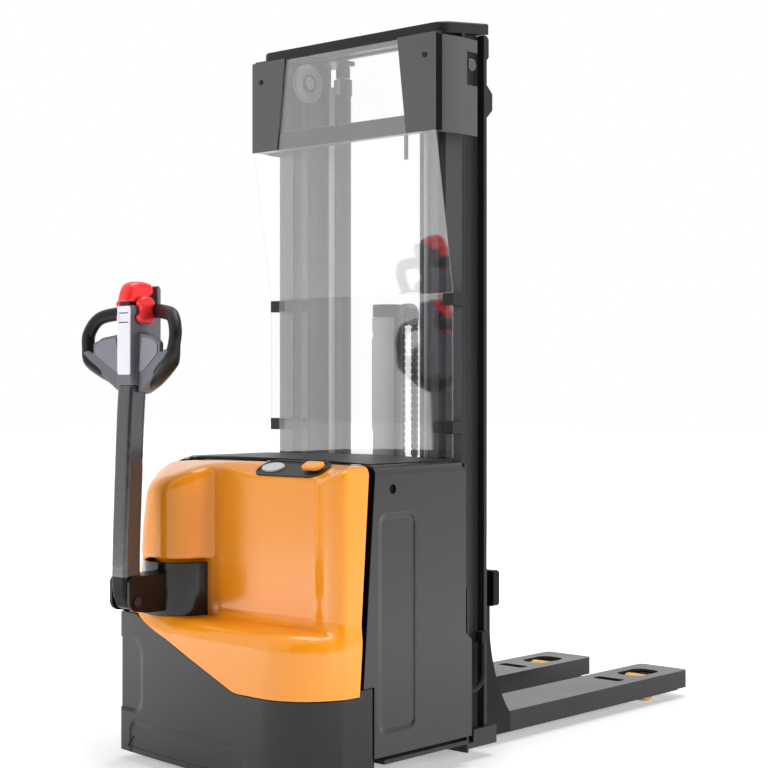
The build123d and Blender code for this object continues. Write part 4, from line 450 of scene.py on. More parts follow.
def surface_net(low, high, step, field):
    """Quads on the zero surface of a distance field sampled on a grid, one vertex for every cell it crosses."""
    axes = [np.arange(a, b, step) for a, b in zip(low, high)]
    value = field(*np.meshgrid(*axes, indexing="ij"))
    solid = value < 0
    size = [n - 1 for n in value.shape]
    corners = [(i, j, k) for i in (0, 1) for j in (0, 1) for k in (0, 1)]
    total = sum(solid[i:i + size[0], j:j + size[1], k:k + size[2]].astype(int) for i, j, k in corners)
    cells = np.argwhere((total > 0) & (total < 8))
    number = -np.ones(size, int)
    number[tuple(cells.T)] = np.arange(len(cells))
    points = np.array(low) + (cells + 0.5) * step
    faces = []
    for axis in range(3):
        u, v = (axis + 1) % 3, (axis + 2) % 3
        here = [slice(1, n) for n in size]
        here[axis] = slice(0, size[axis])
        ahead = list(here)
        ahead[axis] = slice(1, size[axis] + 1)
        starts, ends = solid[tuple(here)], solid[tuple(ahead)]
        for flip, crossing in ((False, starts & ~ends), (True, ~starts & ends)):
            at = np.argwhere(crossing)
            at[:, [u, v]] += 1
            ring = []
            for du, dv in ((0, 0), (-1, 0), (-1, -1), (0, -1)):
                cell = at.copy()
                cell[:, u] += du
                cell[:, v] += dv
                ring.append(number[tuple(cell.T)])
            faces.append(np.stack(ring[::-1] if flip else ring, axis=1))
    return points, np.concatenate(faces)


def hood_field(x, y, z):
    """The hood's distance with its outline worked out once for every plan point."""
    if x.ndim == 3:
        outline = plan_distance(x[:, :, 0], y[:, :, 0])[:, :, None]
    else:
        outline = plan_distance(x, y)
    return hood_distance(x, y, z, outline)


def settled(points, field, eps, limit, rounds):
    """Points moved onto the zero surface of a distance field along its gradient, a limited step at a time."""
    for turn in range(rounds):
        slope = np.stack([field(*(points + s).T) - field(*(points - s).T)
                          for s in (np.roll((eps, 0.0, 0.0), axis) for axis in range(3))], axis=1) / (2 * eps)
        push = field(*points.T) / np.maximum((slope ** 2).sum(1), 0.2)
        points = points - np.clip(push, -limit, limit)[:, None] * slope
    return points


hood_cell = 0.0055
net, quads = surface_net((-0.412, -0.932, 0.238), (0.412, -0.664, 0.842), hood_cell, hood_field)
net = settled(net, hood_field, 0.0004, 0.003, 5)
hood_mesh = bpy.data.meshes.new("hood_skin")
hood_mesh.from_pydata(net.tolist(), [], quads.tolist())


def whole(work):
    """All of a working mesh, for a cut through it."""
    return work.verts[:] + work.edges[:] + work.faces[:]


skin = bmesh.new()
skin.from_mesh(hood_mesh)
for x, z in skirt_line[1:3]:
    bmesh.ops.bisect_plane(skin, geom=whole(skin), plane_co=(x, 0, z), plane_no=(1, 0, 0))
for (x0, z0), (x1, z1) in zip(skirt_line, skirt_line[1:]):
    span = [f for f in skin.faces if x0 < f.calc_center_median().x < x1]
    parts = set(span) | {e for f in span for e in f.edges} | {v for f in span for v in f.verts}
    bmesh.ops.bisect_plane(skin, geom=list(parts), plane_co=(x0, 0, z0), plane_no=(z0 - z1, 0, x1 - x0),
                           clear_inner=True)
bmesh.ops.bisect_plane(skin, geom=whole(skin), plane_co=(0, *seam_top),
                       plane_no=(0, seam_top[1] - seam_low[1], seam_low[0] - seam_top[0]), clear_outer=True)
skin.to_mesh(hood_mesh)
skin.free()
hood_finish = finish("orange_moulding", (234, 145, 26), 0.17, grain=1400.0, depth=0.015, mottle=0.03, dust=0.03,
                     gloss=0.65)
hood_mesh.materials.append(hood_finish)
hood_skin = link_mesh("hood_skin", hood_mesh)
thicken = hood_skin.modifiers.new("wall", "SOLIDIFY")
thicken.thickness = shell
thicken.offset = -1.0
hood_skin.modifiers.new("smooth", "NODES").node_group = smooth_to_crease
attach(hood_skin, "drive_chassis")
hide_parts("hood")

# Operator panel in the scoop: black moulded tray, silvery display under a lens and the wide stop button.
# The button slides in the panel on its stem, so it stays a piece of its own body.
panel_finish = finish("black_moulding", (26, 26, 28), 0.42, grain=1200.0, depth=0.03, dust=0.04)
dress("control_panel", panel_finish, 0.002)
lens_finish = finish("display_silver", (186, 189, 190), 0.2, grain=300.0, depth=0.01, dust=0.0, coat=0.5)
dress("display_lens", lens_finish, 0.0)
dress("stop_button", finish("stop_orange", (238, 150, 42), 0.3, dust=0.0, coat=0.4), 0.0)

# Chassis of the drive section with what stands on it: hydraulic unit, initial-lift cylinder, drive unit with
# its motor and wheel, and the caster. Most of it is seen only from below or when the frame has risen.
black_paint = finish("black_frame_paint", (30, 30, 32), 0.42, grain=600.0, depth=0.03, dust=0.10)
dress("chassis_frame initial_lift_cylinder drive_unit caster_fork", black_paint)
dress("hydraulic_unit", panel_finish)
dress("drive_motor", finish("cast_aluminium", (128, 130, 132), 0.45, grain=260.0, depth=0.08, metal=0.8))
ground_steel = finish("ground_steel", (196, 198, 200), 0.22, grain=1500.0, depth=0.01, dust=0.02, metal=1.0)
dress("initial_lift_rod", ground_steel, 0.0)
tyre_rubber = finish("tyre_rubber", (34, 34, 35), 0.75, grain=500.0, depth=0.12, dust=0.25)
dress("drive_wheel caster_wheel", tyre_rubber)

# Steering drum and tiller bracket: a glossy black drum that turns in the hood's slot, and the bracket on it
# with the pin that the tiller tilts on.
gloss_black = finish("gloss_black", (18, 18, 20), 0.16, grain=1600.0, depth=0.006, mottle=0.1, dust=0.02, coat=0.2)
dress("steering_drum", gloss_black, 0.003)
dress("tiller_bracket", finish("bracket_black", (16, 16, 17), 0.3, dust=0.02), 0.004)
dress("tiller_pin", finish("dark_steel", (58, 58, 60), 0.35, grain=1500.0, depth=0.01, dust=0.0, metal=0.6), 0.001)


# Tiller arm and head: grey mouldings with soft edges. The arm's foot is black, and the head carries a pale
# strip on the operator's face and pale panels on its wings.
def mould(name, material, voxel, rounds):
    """Gives a solid CAD node the soft edges of a moulding: fine even faces, smoothed a few rounds."""
    solid = painted(name, material)
    even = solid.modifiers.new("even_faces", "REMESH")
    even.mode = "VOXEL"
    even.voxel_size = voxel
    even.use_smooth_shade = True
    soft = solid.modifiers.new("soft_edges", "SMOOTH")
    soft.factor = 0.5
    soft.iterations = rounds


def rounded_outline(points, radius, steps=5):
    """A closed outline with its corners rounded."""
    outline = []
    for before, here, after in zip(points[-1:] + points[:-1], points, points[1:] + points[:1]):
        a, p, b = (Vector((*q, 0.0)) for q in (before, here, after))
        start, end = p + (a - p).normalized() * radius, p + (b - p).normalized() * radius
        for i in range(steps):
            t = i / (steps - 1)
            q = start * (1 - t) ** 2 + p * 2 * t * (1 - t) + end * t ** 2
            outline.append((q.x, q.y))
    return outline


def band(work, low, high):
    """Faces between two rings of vertices."""
    for quad in zip(low, low[1:] + low[:1], high[1:] + high[:1], high):
        work.faces.new(quad)


def placed(name, mesh, material, body):
    """A finished mesh as a piece that rides on a body and takes its colour from a slot."""
    mesh.materials.append(material)
    piece = link_mesh(name, mesh)
    piece.modifiers.new("smooth", "NODES").node_group = smooth_to_crease
    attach(piece, body)
    return piece


def plate(name, outline, place, thick, bevel, material, body, hole=None):
    """A thin plate with an eased front edge: outline in the plane of place, proud along its third axis."""
    mesh = bpy.data.meshes.new(name)
    sheet = bmesh.new()
    rings = []
    middle = Vector((sum(p[0] for p in outline), sum(p[1] for p in outline))) / len(outline)
    for shrink, height in ((0.0, 0.0), (0.0, thick - bevel), (bevel, thick)):
        ring = []
        for p in outline:
            inward = (middle - Vector(p)).normalized() * shrink
            ring.append(sheet.verts.new(place @ Vector((p[0] + inward.x, p[1] + inward.y, height))))
        rings.append(ring)
    for low, high in zip(rings, rings[1:]):
        band(sheet, low, high)
    if hole:
        edge = [sheet.verts.new(place @ Vector((x, y, thick))) for x, y in hole]
        back = [sheet.verts.new(place @ Vector((x, y, 0.0))) for x, y in hole]
        pairs = [pair for ring in (rings[-1], edge) for pair in zip(ring, ring[1:] + ring[:1])]
        loops = [sheet.edges.get(pair) or sheet.edges.new(pair) for pair in pairs]
        bmesh.ops.triangle_fill(sheet, edges=loops, use_beauty=True, use_dissolve=False)
        band(sheet, back, edge)
    else:
        sheet.faces.new(rings[-1])
        sheet.faces.new(rings[0][::-1])
    bmesh.ops.recalc_face_normals(sheet, faces=sheet.faces[:])
    sheet.to_mesh(mesh)
    sheet.free()
    return placed(name, mesh, material, body)


tiller_x = column_x
tiller_finish = finish("tiller_grey", (104, 104, 110), 0.42, grain=1100.0, depth=0.03, dust=0.0)
mould("tiller_arm", finish("tiller_arm_grey", (50, 50, 53), 0.15, grain=1100.0, depth=0.008, dust=0.0, gloss=1.0,
                           parted=("Z", 0.524, (24, 24, 26))), 0.004, 6)
arm_low, arm_high, arm_straighter = 0.50, 1.03, 0.018
arm_bend, bend_in, bend_out = new_group("arm_bend", "GeometryNodeTree", {"Geometry": None}, {"Geometry": None})
bend_place = node(arm_bend, "GeometryNodeInputPosition")
bend_split = node(arm_bend, "ShaderNodeSeparateXYZ")
bend_share = node(arm_bend, "ShaderNodeMapRange", From_Min=arm_low, From_Max=arm_high, To_Max=math.pi)
bend_wave = node(arm_bend, "ShaderNodeMath", "SINE")
bend_size = node(arm_bend, "ShaderNodeMath", "MULTIPLY")
bend_size.inputs[1].default_value = arm_straighter
bend_move = node(arm_bend, "ShaderNodeCombineXYZ")
bend_set = node(arm_bend, "GeometryNodeSetPosition")
wire(arm_bend, (bend_in, "Geometry", bend_set, "Geometry"), (bend_place, 0, bend_split, 0),
     (bend_split, "Z", bend_share, "Value"), (bend_share, "Result", bend_wave, 0), (bend_wave, 0, bend_size, 0),
     (bend_size, 0, bend_move, "Y"), (bend_move, 0, bend_set, "Offset"), (bend_set, "Geometry", bend_out, "Geometry"))
nodes["tiller_arm"].modifiers.new("bend", "NODES").node_group = arm_bend
mould("tiller_head", tiller_finish, 0.0025, 5)
pale_finish = finish("pale_moulding", (228, 226, 236), 0.4, grain=1500.0, depth=0.01, mottle=0.02, dust=0.0)


def upright(x, y):
    """A place in an upright plane across the truck, its third axis to the rear."""
    return Matrix(((1, 0, 0, x), (0, 0, -1, y), (0, 1, 0, 0), (0, 0, 0, 1)))


strip = rounded_outline([(-0.026, 1.058), (0.026, 1.058), (0.026, 1.240), (-0.026, 1.240)], 0.007)
rocker_hole = [(-0.0203, 1.1952), (0.0203, 1.1952), (0.0203, 1.2228), (-0.0203, 1.2228)]
plate("operator_strip", strip, upright(tiller_x, -0.9722), 0.0025, 0.0008, pale_finish, "tiller",
      rocker_hole)
wing_finish = finish("wing_grey", (130, 130, 141), 0.4, grain=1500.0, depth=0.01, mottle=0.03, dust=0.0)
wing_lean = math.atan2(0.023, 0.156)
sides = ((-1, "left"), (1, "right"))
for side, name in sides:
    across = Vector((side * math.cos(wing_lean), -math.sin(wing_lean), 0))
    out = Vector((-side * math.sin(wing_lean), -math.cos(wing_lean), 0))
    turned = Matrix((across, (0, 0, 1), out)).transposed().to_4x4()
    wing_place = Matrix.Translation((tiller_x + side * 0.020, -0.950, 0)) @ turned
    wing = rounded_outline([(0.018, 1.066), (0.040, 1.068), (0.108, 1.112), (0.110, 1.136), (0.090, 1.150),
                            (0.034, 1.158)], 0.008)
    plate(f"wing_panel_{name}", wing, wing_place, 0.0022, 0.0008, wing_finish, "tiller")
dress("lift_rocker", pale_finish, 0.0008)

# Hand bows, belly button and throttle: black soft grips and the red parts that the hand and the body press.
# They are drawn as distance fields like the hood, with room for the throttle's swing and the button's travel.
grip_black = finish("grip_black", (20, 20, 22), 0.38, grain=1400.0, depth=0.03, dust=0.0)


def bow_line(points, steps=8):
    """A smooth line through points of the bow's plane, by Catmull-Rom."""
    ends = [points[0]] + points + [points[-1]]
    line = []
    for p, q, r, s in zip(ends, ends[1:], ends[2:], ends[3:]):
        for t in np.arange(steps) / steps:
            line.append([(2 * b + (c - a) * t + (2 * a - 5 * b + 4 * c - d) * t ** 2
                          + (3 * b - a - 3 * c + d) * t ** 3) / 2 for a, b, c, d in zip(p, q, r, s)])
    return np.array(line + [list(points[-1])])


bow_path = bow_line([(0.016, 1.229), (0.095, 1.224), (0.158, 1.211), (0.187, 1.174), (0.187, 1.136), (0.170, 1.093),
                     (0.089, 1.049), (0.015, 1.025)])
bow_thick, bow_sweep, bow_root = 0.0188, math.radians(19.0), -0.879
throttle_y, throttle_z, throttle_room = -0.934, 1.228, 0.0405
button_seat = 1.242


def bow_field(x, y, z):
    """Distance to a hand bow: a flattened tube along its line in a plane that is swept back and leans."""
    away = np.abs(x - tiller_x)
    ahead = y - bow_root - 0.11 * (z - button_seat)
    along = away * math.cos(bow_sweep) - ahead * math.sin(bow_sweep)
    flat = 0.72 + 0.43 * np.clip((z - 1.085) / 0.05, 0.0, 1.0)
    off = (away * math.sin(bow_sweep) + ahead * math.cos(bow_sweep)) * flat
    near = np.full(x.shape, 9.0)
    for (ax, az), (bx, bz) in zip(bow_path, bow_path[1:]):
        ex, ez = bx - ax, bz - az
        t = np.clip(((along - ax) * ex + (z - az) * ez) / (ex * ex + ez * ez), 0.0, 1.0)
        near = np.minimum(near, np.hypot(along - ax - t * ex, z - az - t * ez))
    swing = np.maximum(np.hypot(y - throttle_y, z - throttle_z) - throttle_room, away - 0.055)
    return np.maximum(np.hypot(near, off) - bow_thick, -swing)


def button_field(x, y, z):
    """Distance to the belly button: a rounded hood over the head, deeper at the operator's side."""
    half_width, height, gap = 0.0262, 0.0700, 0.0090
    away, tall = np.abs(x - tiller_x), z - button_seat
    side = away - half_width
    back = np.hypot(np.minimum((y + 0.9375) / 0.0435, 0.0), np.maximum((tall - 0.006) / 0.0650, 0.0)) - 1.0
    top = np.maximum(back * 0.045, y + 0.8845)
    crown = tall - height + 0.5 * np.maximum(y + 0.925, 0.0) ** 2 / 0.06
    low = gap + 0.50 * np.maximum(y + 0.940, 0.0) - tall
    recess = np.maximum(np.maximum(away - 0.0205, np.abs(y + 0.9335) - 0.0385), tall - 0.0205)
    return np.maximum(trimmed(trimmed(trimmed(top, crown, 0.02), side, 0.022), low, 0.004), -recess)


def paddle_field(x, y, z):
    """Distance to the throttle's two thumb paddles: waisted plates with rounded edges beside the head."""
    corner_radius, waist_radius, middle, half_thick = 0.024, 0.018, 0.0413, 0.0108
    ahead, tall = np.abs(y - throttle_y), z - throttle_z
    outline = np.hypot(np.maximum(ahead - 0.004, 0.0), np.maximum(np.abs(tall) - 0.013, 0.0)) - corner_radius
    outline = trimmed(outline, waist_radius - np.hypot(ahead - 0.037, tall), 0.004)
    return trimmed(outline, np.abs(np.abs(x - tiller_x) - middle) - half_thick, 0.008)


def moulded(name, low, high, step, field, material, body):
    """A closed piece on the zero surface of a distance field, settled onto it."""
    points, faces = surface_net(low, high, step, field)
    points = settled(points, field, step / 10, step / 2, 4)
    mesh = bpy.data.meshes.new(name)
    mesh.from_pydata(points.tolist(), [], faces.tolist())
    return placed(name, mesh, material, body)


bows = moulded("hand_bows", (-0.450, -0.990, 0.990), (0.0, -0.830, 1.268), 0.003, bow_field, grip_black,
               "tiller")
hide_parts("tiller_bows")
signal_red = finish("signal_red", (232, 44, 50), 0.28, grain=1600.0, depth=0.006, mottle=0.04, dust=0.0, coat=0.4)
button = moulded("button_hood", (-0.262, -0.990, 1.235), (-0.188, -0.875, 1.315), 0.002, button_field, signal_red,
                 "belly_button")
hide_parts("belly_button")
neck = [(tiller_x + x, y) for x, y in ((-0.0185, -0.970), (0.0185, -0.970), (0.0185, -0.897), (-0.0185, -0.897))]
plate("button_neck", neck, Matrix.Translation((0, 0, button_seat - 0.003)), 0.0130, 0.0005, grip_black,
      "tiller")
paddles = moulded("throttle_paddles", (-0.282, -0.968, 1.186), (-0.168, -0.900, 1.270), 0.002, paddle_field,
                  signal_red, "throttle")
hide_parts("throttle")

# Lift frame: the black welded frame with the mast's foot and the battery tray, the battery in it, grey side
# panels in the skirt's texture coat and the black top cover. All of it rises against the drive section.
dress("base_frame", black_paint)
dress("battery", finish("battery_case", (52, 54, 57), 0.5, grain=700.0, depth=0.05))
panel_grey = finish("panel_grey", (30, 30, 31), 0.26, grain=700.0, depth=0.015, dust=0.02, gloss=0.6,
                    pressed=(((0.0, -0.585, 0.421), (9.0, 0.066, 0.2755), 0.022),))
dress("side_panel_left side_panel_right", panel_grey, 0.0012)
dress("top_cover", panel_finish, 0.001)
flange = [(-0.250, 0.560), (0.394, 0.560), (0.394, 0.806), (0.378, 0.8255), (-0.250, 0.8255)]
plate("frame_flange", flange, upright(0.0, -0.660), 0.004, 0.0005, panel_finish, "lift_frame")
# Matte near-black for the lock discs on the side panels. The same material is used for the strips down the header
# corners, which paint the shade in the gap between each rear plate and its side cover.
lock_and_gap_shade_black = finish("lock_and_gap_shade_black", (8, 8, 9), 0.35, dust=0.0, gloss=0.06)


def disc(name, place, radius, thick, material, body, count=32):
    """A flat round piece along the third axis of place: plug, washer or screw head, with an eased edge."""
    turns = [2 * math.pi * i / count for i in range(count)]
    ring = [(radius * math.cos(turn), radius * math.sin(turn)) for turn in turns]
    return plate(name, ring, place, thick, min(thick, radius) * 0.3, material, body)


def facing(spot, outward):
    """A place with its third axis along outward, for discs and plates."""
    return Matrix.Translation(spot) @ Vector(outward).to_track_quat("Z", "Y").to_matrix().to_4x4()


for side, name in sides:
    disc(f"panel_lock_{name}", facing((side * 0.3930, -0.604, 0.764), (side, 0, 0)), 0.0122, 0.003,
         lock_and_gap_shade_black, "lift_frame")

# Pressure hose at the mast's foot: a short pipe run between two fittings of the lift frame. It is fixed at both
# ends and does not move in the frame.
dress("foot_hose", finish("hose_rubber", (20, 20, 21), 0.6, grain=400.0, depth=0.1, dust=0.05), 0.0)

# Support legs with the load arms and their cast urethane rollers, which swing down to lift the frame. The legs
# lie inside the forks, so little more than their dark edges shows.
leg_finish = finish("leg_grey", (38, 38, 40), 0.45, grain=600.0, depth=0.03, dust=0.08)
dress("support_leg_left support_leg_right load_arm_left load_arm_right", leg_finish)
amber_urethane = finish("amber_urethane", (225, 170, 70), 0.45, grain=500.0, depth=0.04, dust=0.08)
dress("load_wheel_left load_wheel_right", amber_urethane, 0.002)

# Outer mast: black rails with the lift cylinders beside them, grey header plates with dark screws, the bars
# between the plates, the black cap and the clear guard.
mast_black = finish("mast_black", (36, 36, 38), 0.34, grain=800.0, depth=0.02, dust=0.04, gloss=0.22)
# A lighter grey for the rails' rear faces and the lower header bar. It is painted light that stands in for the light
# these faces catch.
painted_light_face = finish("painted_light_face", (84, 84, 87), 0.35, grain=1200.0, depth=0.02, dust=0.0)
dress("outer_rail_left outer_rail_right", mast_black, 0.002)
dress("header_lower_bar", painted_light_face, 0.002)
# The cylinders are black. Whatever of them lies behind Y −0.2155, their rear side and the pipe along it, is light
# grey and duller: a painted highlight where that side catches the light.
cylinder_finish_painted_highlight = finish("cylinder_black_painted_highlight", (30, 30, 32), 0.3, grain=900.0, depth=0.02, dust=0.0,
                         parted=("Y", -0.2155, (168, 168, 172)))
dress("lift_cylinder_left lift_cylinder_right", cylinder_finish_painted_highlight, 0.0)
header_finish = finish("header_grey", (54, 55, 57), 0.17, grain=900.0, depth=0.02, dust=0.0, gloss=1.0)
screw_finish = finish("screw_black", (24, 24, 26), 0.35, dust=0.0)
header_low, header_high = 1.715, 1.979
bow_start, bow_length, cover_bow = -0.267, 0.1, 0.022


def bow_cover(piece, side):
    """Draws the rear edge of a header's side cover inwards, so that the sheet bows towards the corner."""
    sheet = bmesh.new()
    sheet.from_mesh(piece.data)
    for step in range(1, 10):
        cut = (0, bow_start - bow_length * step / 10, 0)
        bmesh.ops.bisect_plane(sheet, geom=whole(sheet), plane_co=cut, plane_no=(0, 1, 0))
    for corner in sheet.verts:
        corner.co.x -= side * cover_bow * max(0.0, (bow_start - corner.co.y) / bow_length) ** 2
    sheet.to_mesh(piece.data)
    sheet.free()


for side, name in sides:
    rear = ((0.218, header_high), (0.354, header_high), (0.354, header_low), (0.250, header_low))
    rear_plate = plate(f"header_rear_{name}", [(side * x, z) for x, z in rear], facing((0, -0.379, 0), (0, -1, 0)),
                       0.004, 0.0006, header_finish, "lift_frame")
    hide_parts(f"header_plate_{name}")
    notched = [(-0.362, header_low), (-0.207, header_low), (-0.207, 1.852), (-0.252, 1.852), (-0.252, 1.944),
               (-0.207, 1.944), (-0.207, header_high), (-0.362, header_high)]
    cover = plate(f"header_side_{name}", [(side * y, z) for y, z in notched],
                  facing((side * 0.354, 0, 0), (side, 0, 0)), 0.004, 0.0004, header_finish, "lift_frame")
    bow_cover(cover, side)
    # A near-black strip down each header corner paints the shade in the gap between the flat rear plate and the bowed
    # side cover.
    gap_shade_outline = [(side * x, y) for x, y in ((0.322, -0.3788), (0.352, -0.3788), (0.352, -0.3506), (0.322, -0.3506))]
    plate(f"header_trim_{name}", gap_shade_outline, Matrix.Translation((0, 0, header_low + 0.002)),
          header_high - header_low - 0.004, 0.001, lock_and_gap_shade_black, "lift_frame")
    disc(f"header_screw_{name}", facing((side * 0.318, -0.3826, 1.921), (side * 0.13, -1, 0)), 0.008, 0.004,
         screw_finish, "lift_frame", 20)
    disc(f"notch_roller_{name}", facing((side * 0.3545, -0.228, 1.910), (side, 0, 0)), 0.017, 0.003,
         header_finish, "lift_frame")
upper_bar = [(-0.350, 1.962), (0.350, 1.962), (0.350, 1.984), (-0.350, 1.984)]
bar = plate("header_top_bar", upper_bar, facing((0, -0.351, 0), (0, -1, 0)), 0.0236, 0.001, mast_black, "lift_frame")
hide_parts("header_upper_bar")


def cap_outline(half, rear, front, radius):
    """U-shaped plan of the cap: rounded rear corners, open ahead for the inner mast."""
    arm, back = 0.030, 0.036
    outer = [(half - radius * (1 - math.sin(t)), rear + radius * (1 - math.cos(t)))
             for t in (math.pi / 2 * i / 10 for i in range(11))]
    right = outer + [(half, front), (half - arm, front), (half - arm, rear + back)]
    return right + [(-x, y) for x, y in reversed(right)]


cap_rear, cap_front, cap_low, cap_rise = -0.349, -0.152, 1.982, 0.022
cap = plate("top_cap", cap_outline(0.353, cap_rear, cap_front, 0.036), Matrix.Translation((0, 0, cap_low)),
            0.031, 0.004, panel_finish, "lift_frame")
for corner in cap.data.vertices:
    corner.co.z += cap_rise * (corner.co.y - cap_rear) / (cap_front - cap_rear)
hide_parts("mast_cap")

guard_finish, guard_tree, guard_shader = new_material("clear_guard", Base_Color=(0.94, 0.95, 0.96, 1.0), Metallic=1.0,
                                                      Roughness=0.04)
guard_haze = node(guard_tree, "ShaderNodeGroup", surface_variation, Mottle_Scale=3.0)
guard_veil = node(guard_tree, "ShaderNodeMapRange", To_Min=0.15, To_Max=0.18)
wire(guard_tree, (guard_haze, "Mottle", guard_veil, "Value"), (guard_veil, "Result", guard_shader, "Alpha"))
dress("guard", guard_finish, 0.0)

# Inner mast: rails inside the outer pair with their ties, the rods that lift them, the free-lift cylinder, the
# hose pulley and the crosshead with its sheave. Thin lighter plates on the rear faces of both pairs of rails
# are a painted highlight for the light those faces catch.
dress("inner_rail_left inner_rail_right inner_foot_tie", mast_black)
dress("free_lift_cylinder", cylinder_finish_painted_highlight, 0.001)
tie_outline = [(-0.2398, -0.166), (-0.2398, -0.264), (0.2398, -0.264), (0.2398, -0.166), (0.142, -0.166),
               (0.142, -0.250), (-0.142, -0.250), (-0.142, -0.166)]
tie_low = 1.977
tie = plate("inner_tie", tie_outline, Matrix.Translation((0, 0, tie_low)), 0.013, 0.0006, mast_black, "inner_mast")
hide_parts("inner_top_tie")
tie_rods = ((-0.166, -0.191, 0.021, 1.9402), (0.166, -0.191, 0.021, 1.9402), (0.141, -0.257, 0.006, 1.666))
for x, y, radius, low in tie_rods:
    disc(f"tie_rod_{round(1000 * x)}", Matrix.Translation((x, y, low)), radius, tie_low - 0.0002 - low, mast_black,
         "inner_mast")
# Thin lighter plates on the rear faces of both pairs of rails paint the highlight those faces catch.
painted_light_faces = (("outer", 0.297, 0.353, -0.2691, "lift_frame"), ("inner", 0.241, 0.267, -0.2641, "inner_mast"))
for side, name in sides:
    for part, near, far, y, body in painted_light_faces:
        face = [(side * near, 0.062), (side * far, 0.062), (side * far, 1.972), (side * near, 1.972)]
        plate(f"{part}_rail_face_{name}", face, facing((0, y, 0), (0, -1, 0)), 0.0008, 0.0003, painted_light_face, body)
ear = rounded_outline([(-0.297, 1.902), (-0.261, 1.902), (-0.216, 1.971), (-0.216, 1.990), (-0.297, 1.990)], 0.012)
plate("pulley_ear", [(-y, z) for y, z in ear], facing((-0.2335, 0, 0), (-1, 0, 0)), 0.006, 0.0006, mast_black,
      "inner_mast")
dress("lift_rod_left lift_rod_right", ground_steel, 0.0)
pulley_finish = finish("pulley_grey", (150, 150, 154), 0.45, grain=900.0, depth=0.02, dust=0.0)
dress("hose_pulley", pulley_finish, 0.0)
for part, radius, proud, look in (("groove", 0.027, 0.002, mast_black), ("hub", 0.018, 0.005, pulley_finish)):
    disc(f"pulley_{part}", facing((-0.2192, -0.279, 1.920), (1, 0, 0)), radius, proud, look, "inner_mast")
dress("crosshead", mast_black)
dress("chain_sheave", finish("sheave_steel", (112, 112, 114), 0.35, grain=500.0, depth=0.03, metal=0.9), 0.0008)

# Lift chain: a leaf chain from the anchor on the free-lift barrel up to the sheave, over it and down to the
# carriage. One pitch of plates and pins is repeated along each run with Geometry Nodes.
chain_x, chain_turn_y, chain_turn_z = 0.018, -0.108, 1.236
chain_pitch, chain_arc = 0.0196, 0.0288


def chain_pitch_mesh():
    """One pitch of leaf chain along +Z, centred: five plates, low and high by turns, and two pins."""
    mesh = bpy.data.meshes.new("chain_pitch")
    work = bmesh.new()
    plate_radius, plate_half, plate_gap = 0.0041, 0.0017, 0.0046
    pin_radius, pin_length = 0.0022, 0.0218
    outline = []
    for end in (1, -1):
        for i in range(9):
            turn = math.pi * i / 8
            outline.append((plate_radius * math.cos(turn) * end,
                            end * (chain_pitch / 4 + plate_radius * math.sin(turn))))
    for number, x in enumerate(plate_gap * i for i in range(-2, 3)):
        lift = chain_pitch / 4 if number % 2 else -chain_pitch / 4
        near = [work.verts.new((x - plate_half, y, z + lift)) for y, z in outline]
        far = [work.verts.new((x + plate_half, y, z + lift)) for y, z in outline]
        work.faces.new(near)
        work.faces.new(far[::-1])
        band(work, far, near)
    across = Matrix.Rotation(math.pi / 2, 4, "Y")
    for z in (-chain_pitch / 2, 0.0):
        bmesh.ops.create_cone(work, cap_ends=True, segments=12, radius1=pin_radius, radius2=pin_radius,
                              depth=pin_length, matrix=Matrix.Translation((0, 0, z)) @ across)
    bmesh.ops.recalc_face_normals(work, faces=work.faces[:])
    work.to_mesh(mesh)
    work.free()
    return mesh


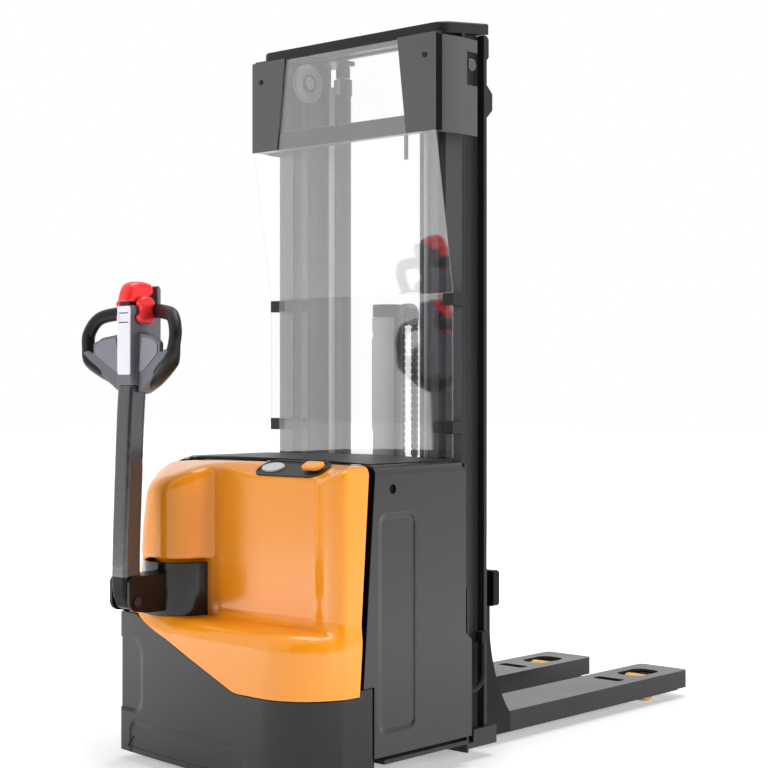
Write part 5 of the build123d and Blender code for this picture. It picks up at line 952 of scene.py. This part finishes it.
def chain_tree(pitch_object, material):
    """Geometry Nodes that set one pitch on every step of a path, turned along it."""
    tree, inputs, outputs = new_group("chain_along_path", "GeometryNodeTree", {"Geometry": None}, {"Geometry": None})
    path = node(tree, "GeometryNodeMeshToCurve")
    steps = node(tree, "GeometryNodeResampleCurve", "LENGTH", Length=chain_pitch)
    tangent = node(tree, "GeometryNodeInputTangent")
    turned = node(tree, "FunctionNodeAlignRotationToVector")
    turned.axis = "Z"
    turned.pivot_axis = "X"
    pitch = node(tree, "GeometryNodeObjectInfo", Object=pitch_object)
    repeat = node(tree, "GeometryNodeInstanceOnPoints")
    real = node(tree, "GeometryNodeRealizeInstances")
    paint = node(tree, "GeometryNodeSetMaterial", Material=material)
    wire(tree, (inputs, "Geometry", path, "Mesh"), (path, "Curve", steps, "Curve"),
         (steps, "Curve", repeat, "Points"), (tangent, "Tangent", turned, "Vector"),
         (turned, "Rotation", repeat, "Rotation"), (pitch, "Geometry", repeat, "Instance"),
         (repeat, "Instances", real, "Geometry"), (real, "Geometry", paint, "Geometry"),
         (paint, "Geometry", outputs, "Geometry"))
    return tree


chain_finish = finish("chain_steel", (104, 103, 101), 0.35, grain=300.0, depth=0.05, mottle=0.2, dust=0.0, metal=0.85)
pitch_piece = link_mesh("chain_pitch", chain_pitch_mesh())
chain_nodes = chain_tree(pitch_piece, chain_finish)


def chain_run(name, points):
    """Real links along a path in the plane of the chain."""
    mesh = bpy.data.meshes.new(name + "_path")
    mesh.from_pydata([(chain_x, y, z) for y, z in points], [(i, i + 1) for i in range(len(points) - 1)], [])
    path = link_mesh(name + "_path", mesh)
    path.modifiers.new("links", "NODES").node_group = chain_nodes
    made = bpy.data.meshes.new_from_object(path.evaluated_get(bpy.context.evaluated_depsgraph_get()))
    made.name = name
    bpy.data.objects.remove(path)
    run = link_mesh(name, made)
    run.modifiers.new("smooth", "NODES").node_group = smooth_to_crease
    return run


front_y, rear_y = chain_turn_y + chain_arc, chain_turn_y - chain_arc
over = [(chain_turn_y + chain_arc * math.cos(turn), chain_turn_z + chain_arc * math.sin(turn))
        for turn in (math.pi * i / 24 for i in range(25))]
chain_foot, crosshead_travel = 0.506, 0.675
front_run = chain_run("chain_front_run", [(front_y, chain_foot + chain_pitch / 2), (front_y, chain_turn_z)])
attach(front_run, "crosshead")
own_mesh(front_run)
top_run = chain_run("chain_over_sheave", over)
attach(top_run, "crosshead")
rear_run = chain_run("chain_rear_run", [(rear_y, 0.620 + chain_pitch / 2), (rear_y, chain_turn_z)])
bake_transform(rear_run)
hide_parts("chain_front")
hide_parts("chain_rear")
bpy.data.objects.remove(pitch_piece)

# Carriage and forks: black carriage with its bar and shoes, and grey folded forks over the support legs, whose
# heels and gussets are black like the carriage.
dress("carriage_frame", finish("carriage_black", (20, 20, 21), 0.4, grain=800.0, depth=0.02, dust=0.03, gloss=0.1))
fork_finish = finish("fork_grey", (34, 34, 36), 0.26, grain=700.0, depth=0.02, dust=0.03, gloss=0.25,
                     parted=("Y", 0.034, (22, 22, 24)))
dress("fork_left fork_right", fork_finish, 0.0012)
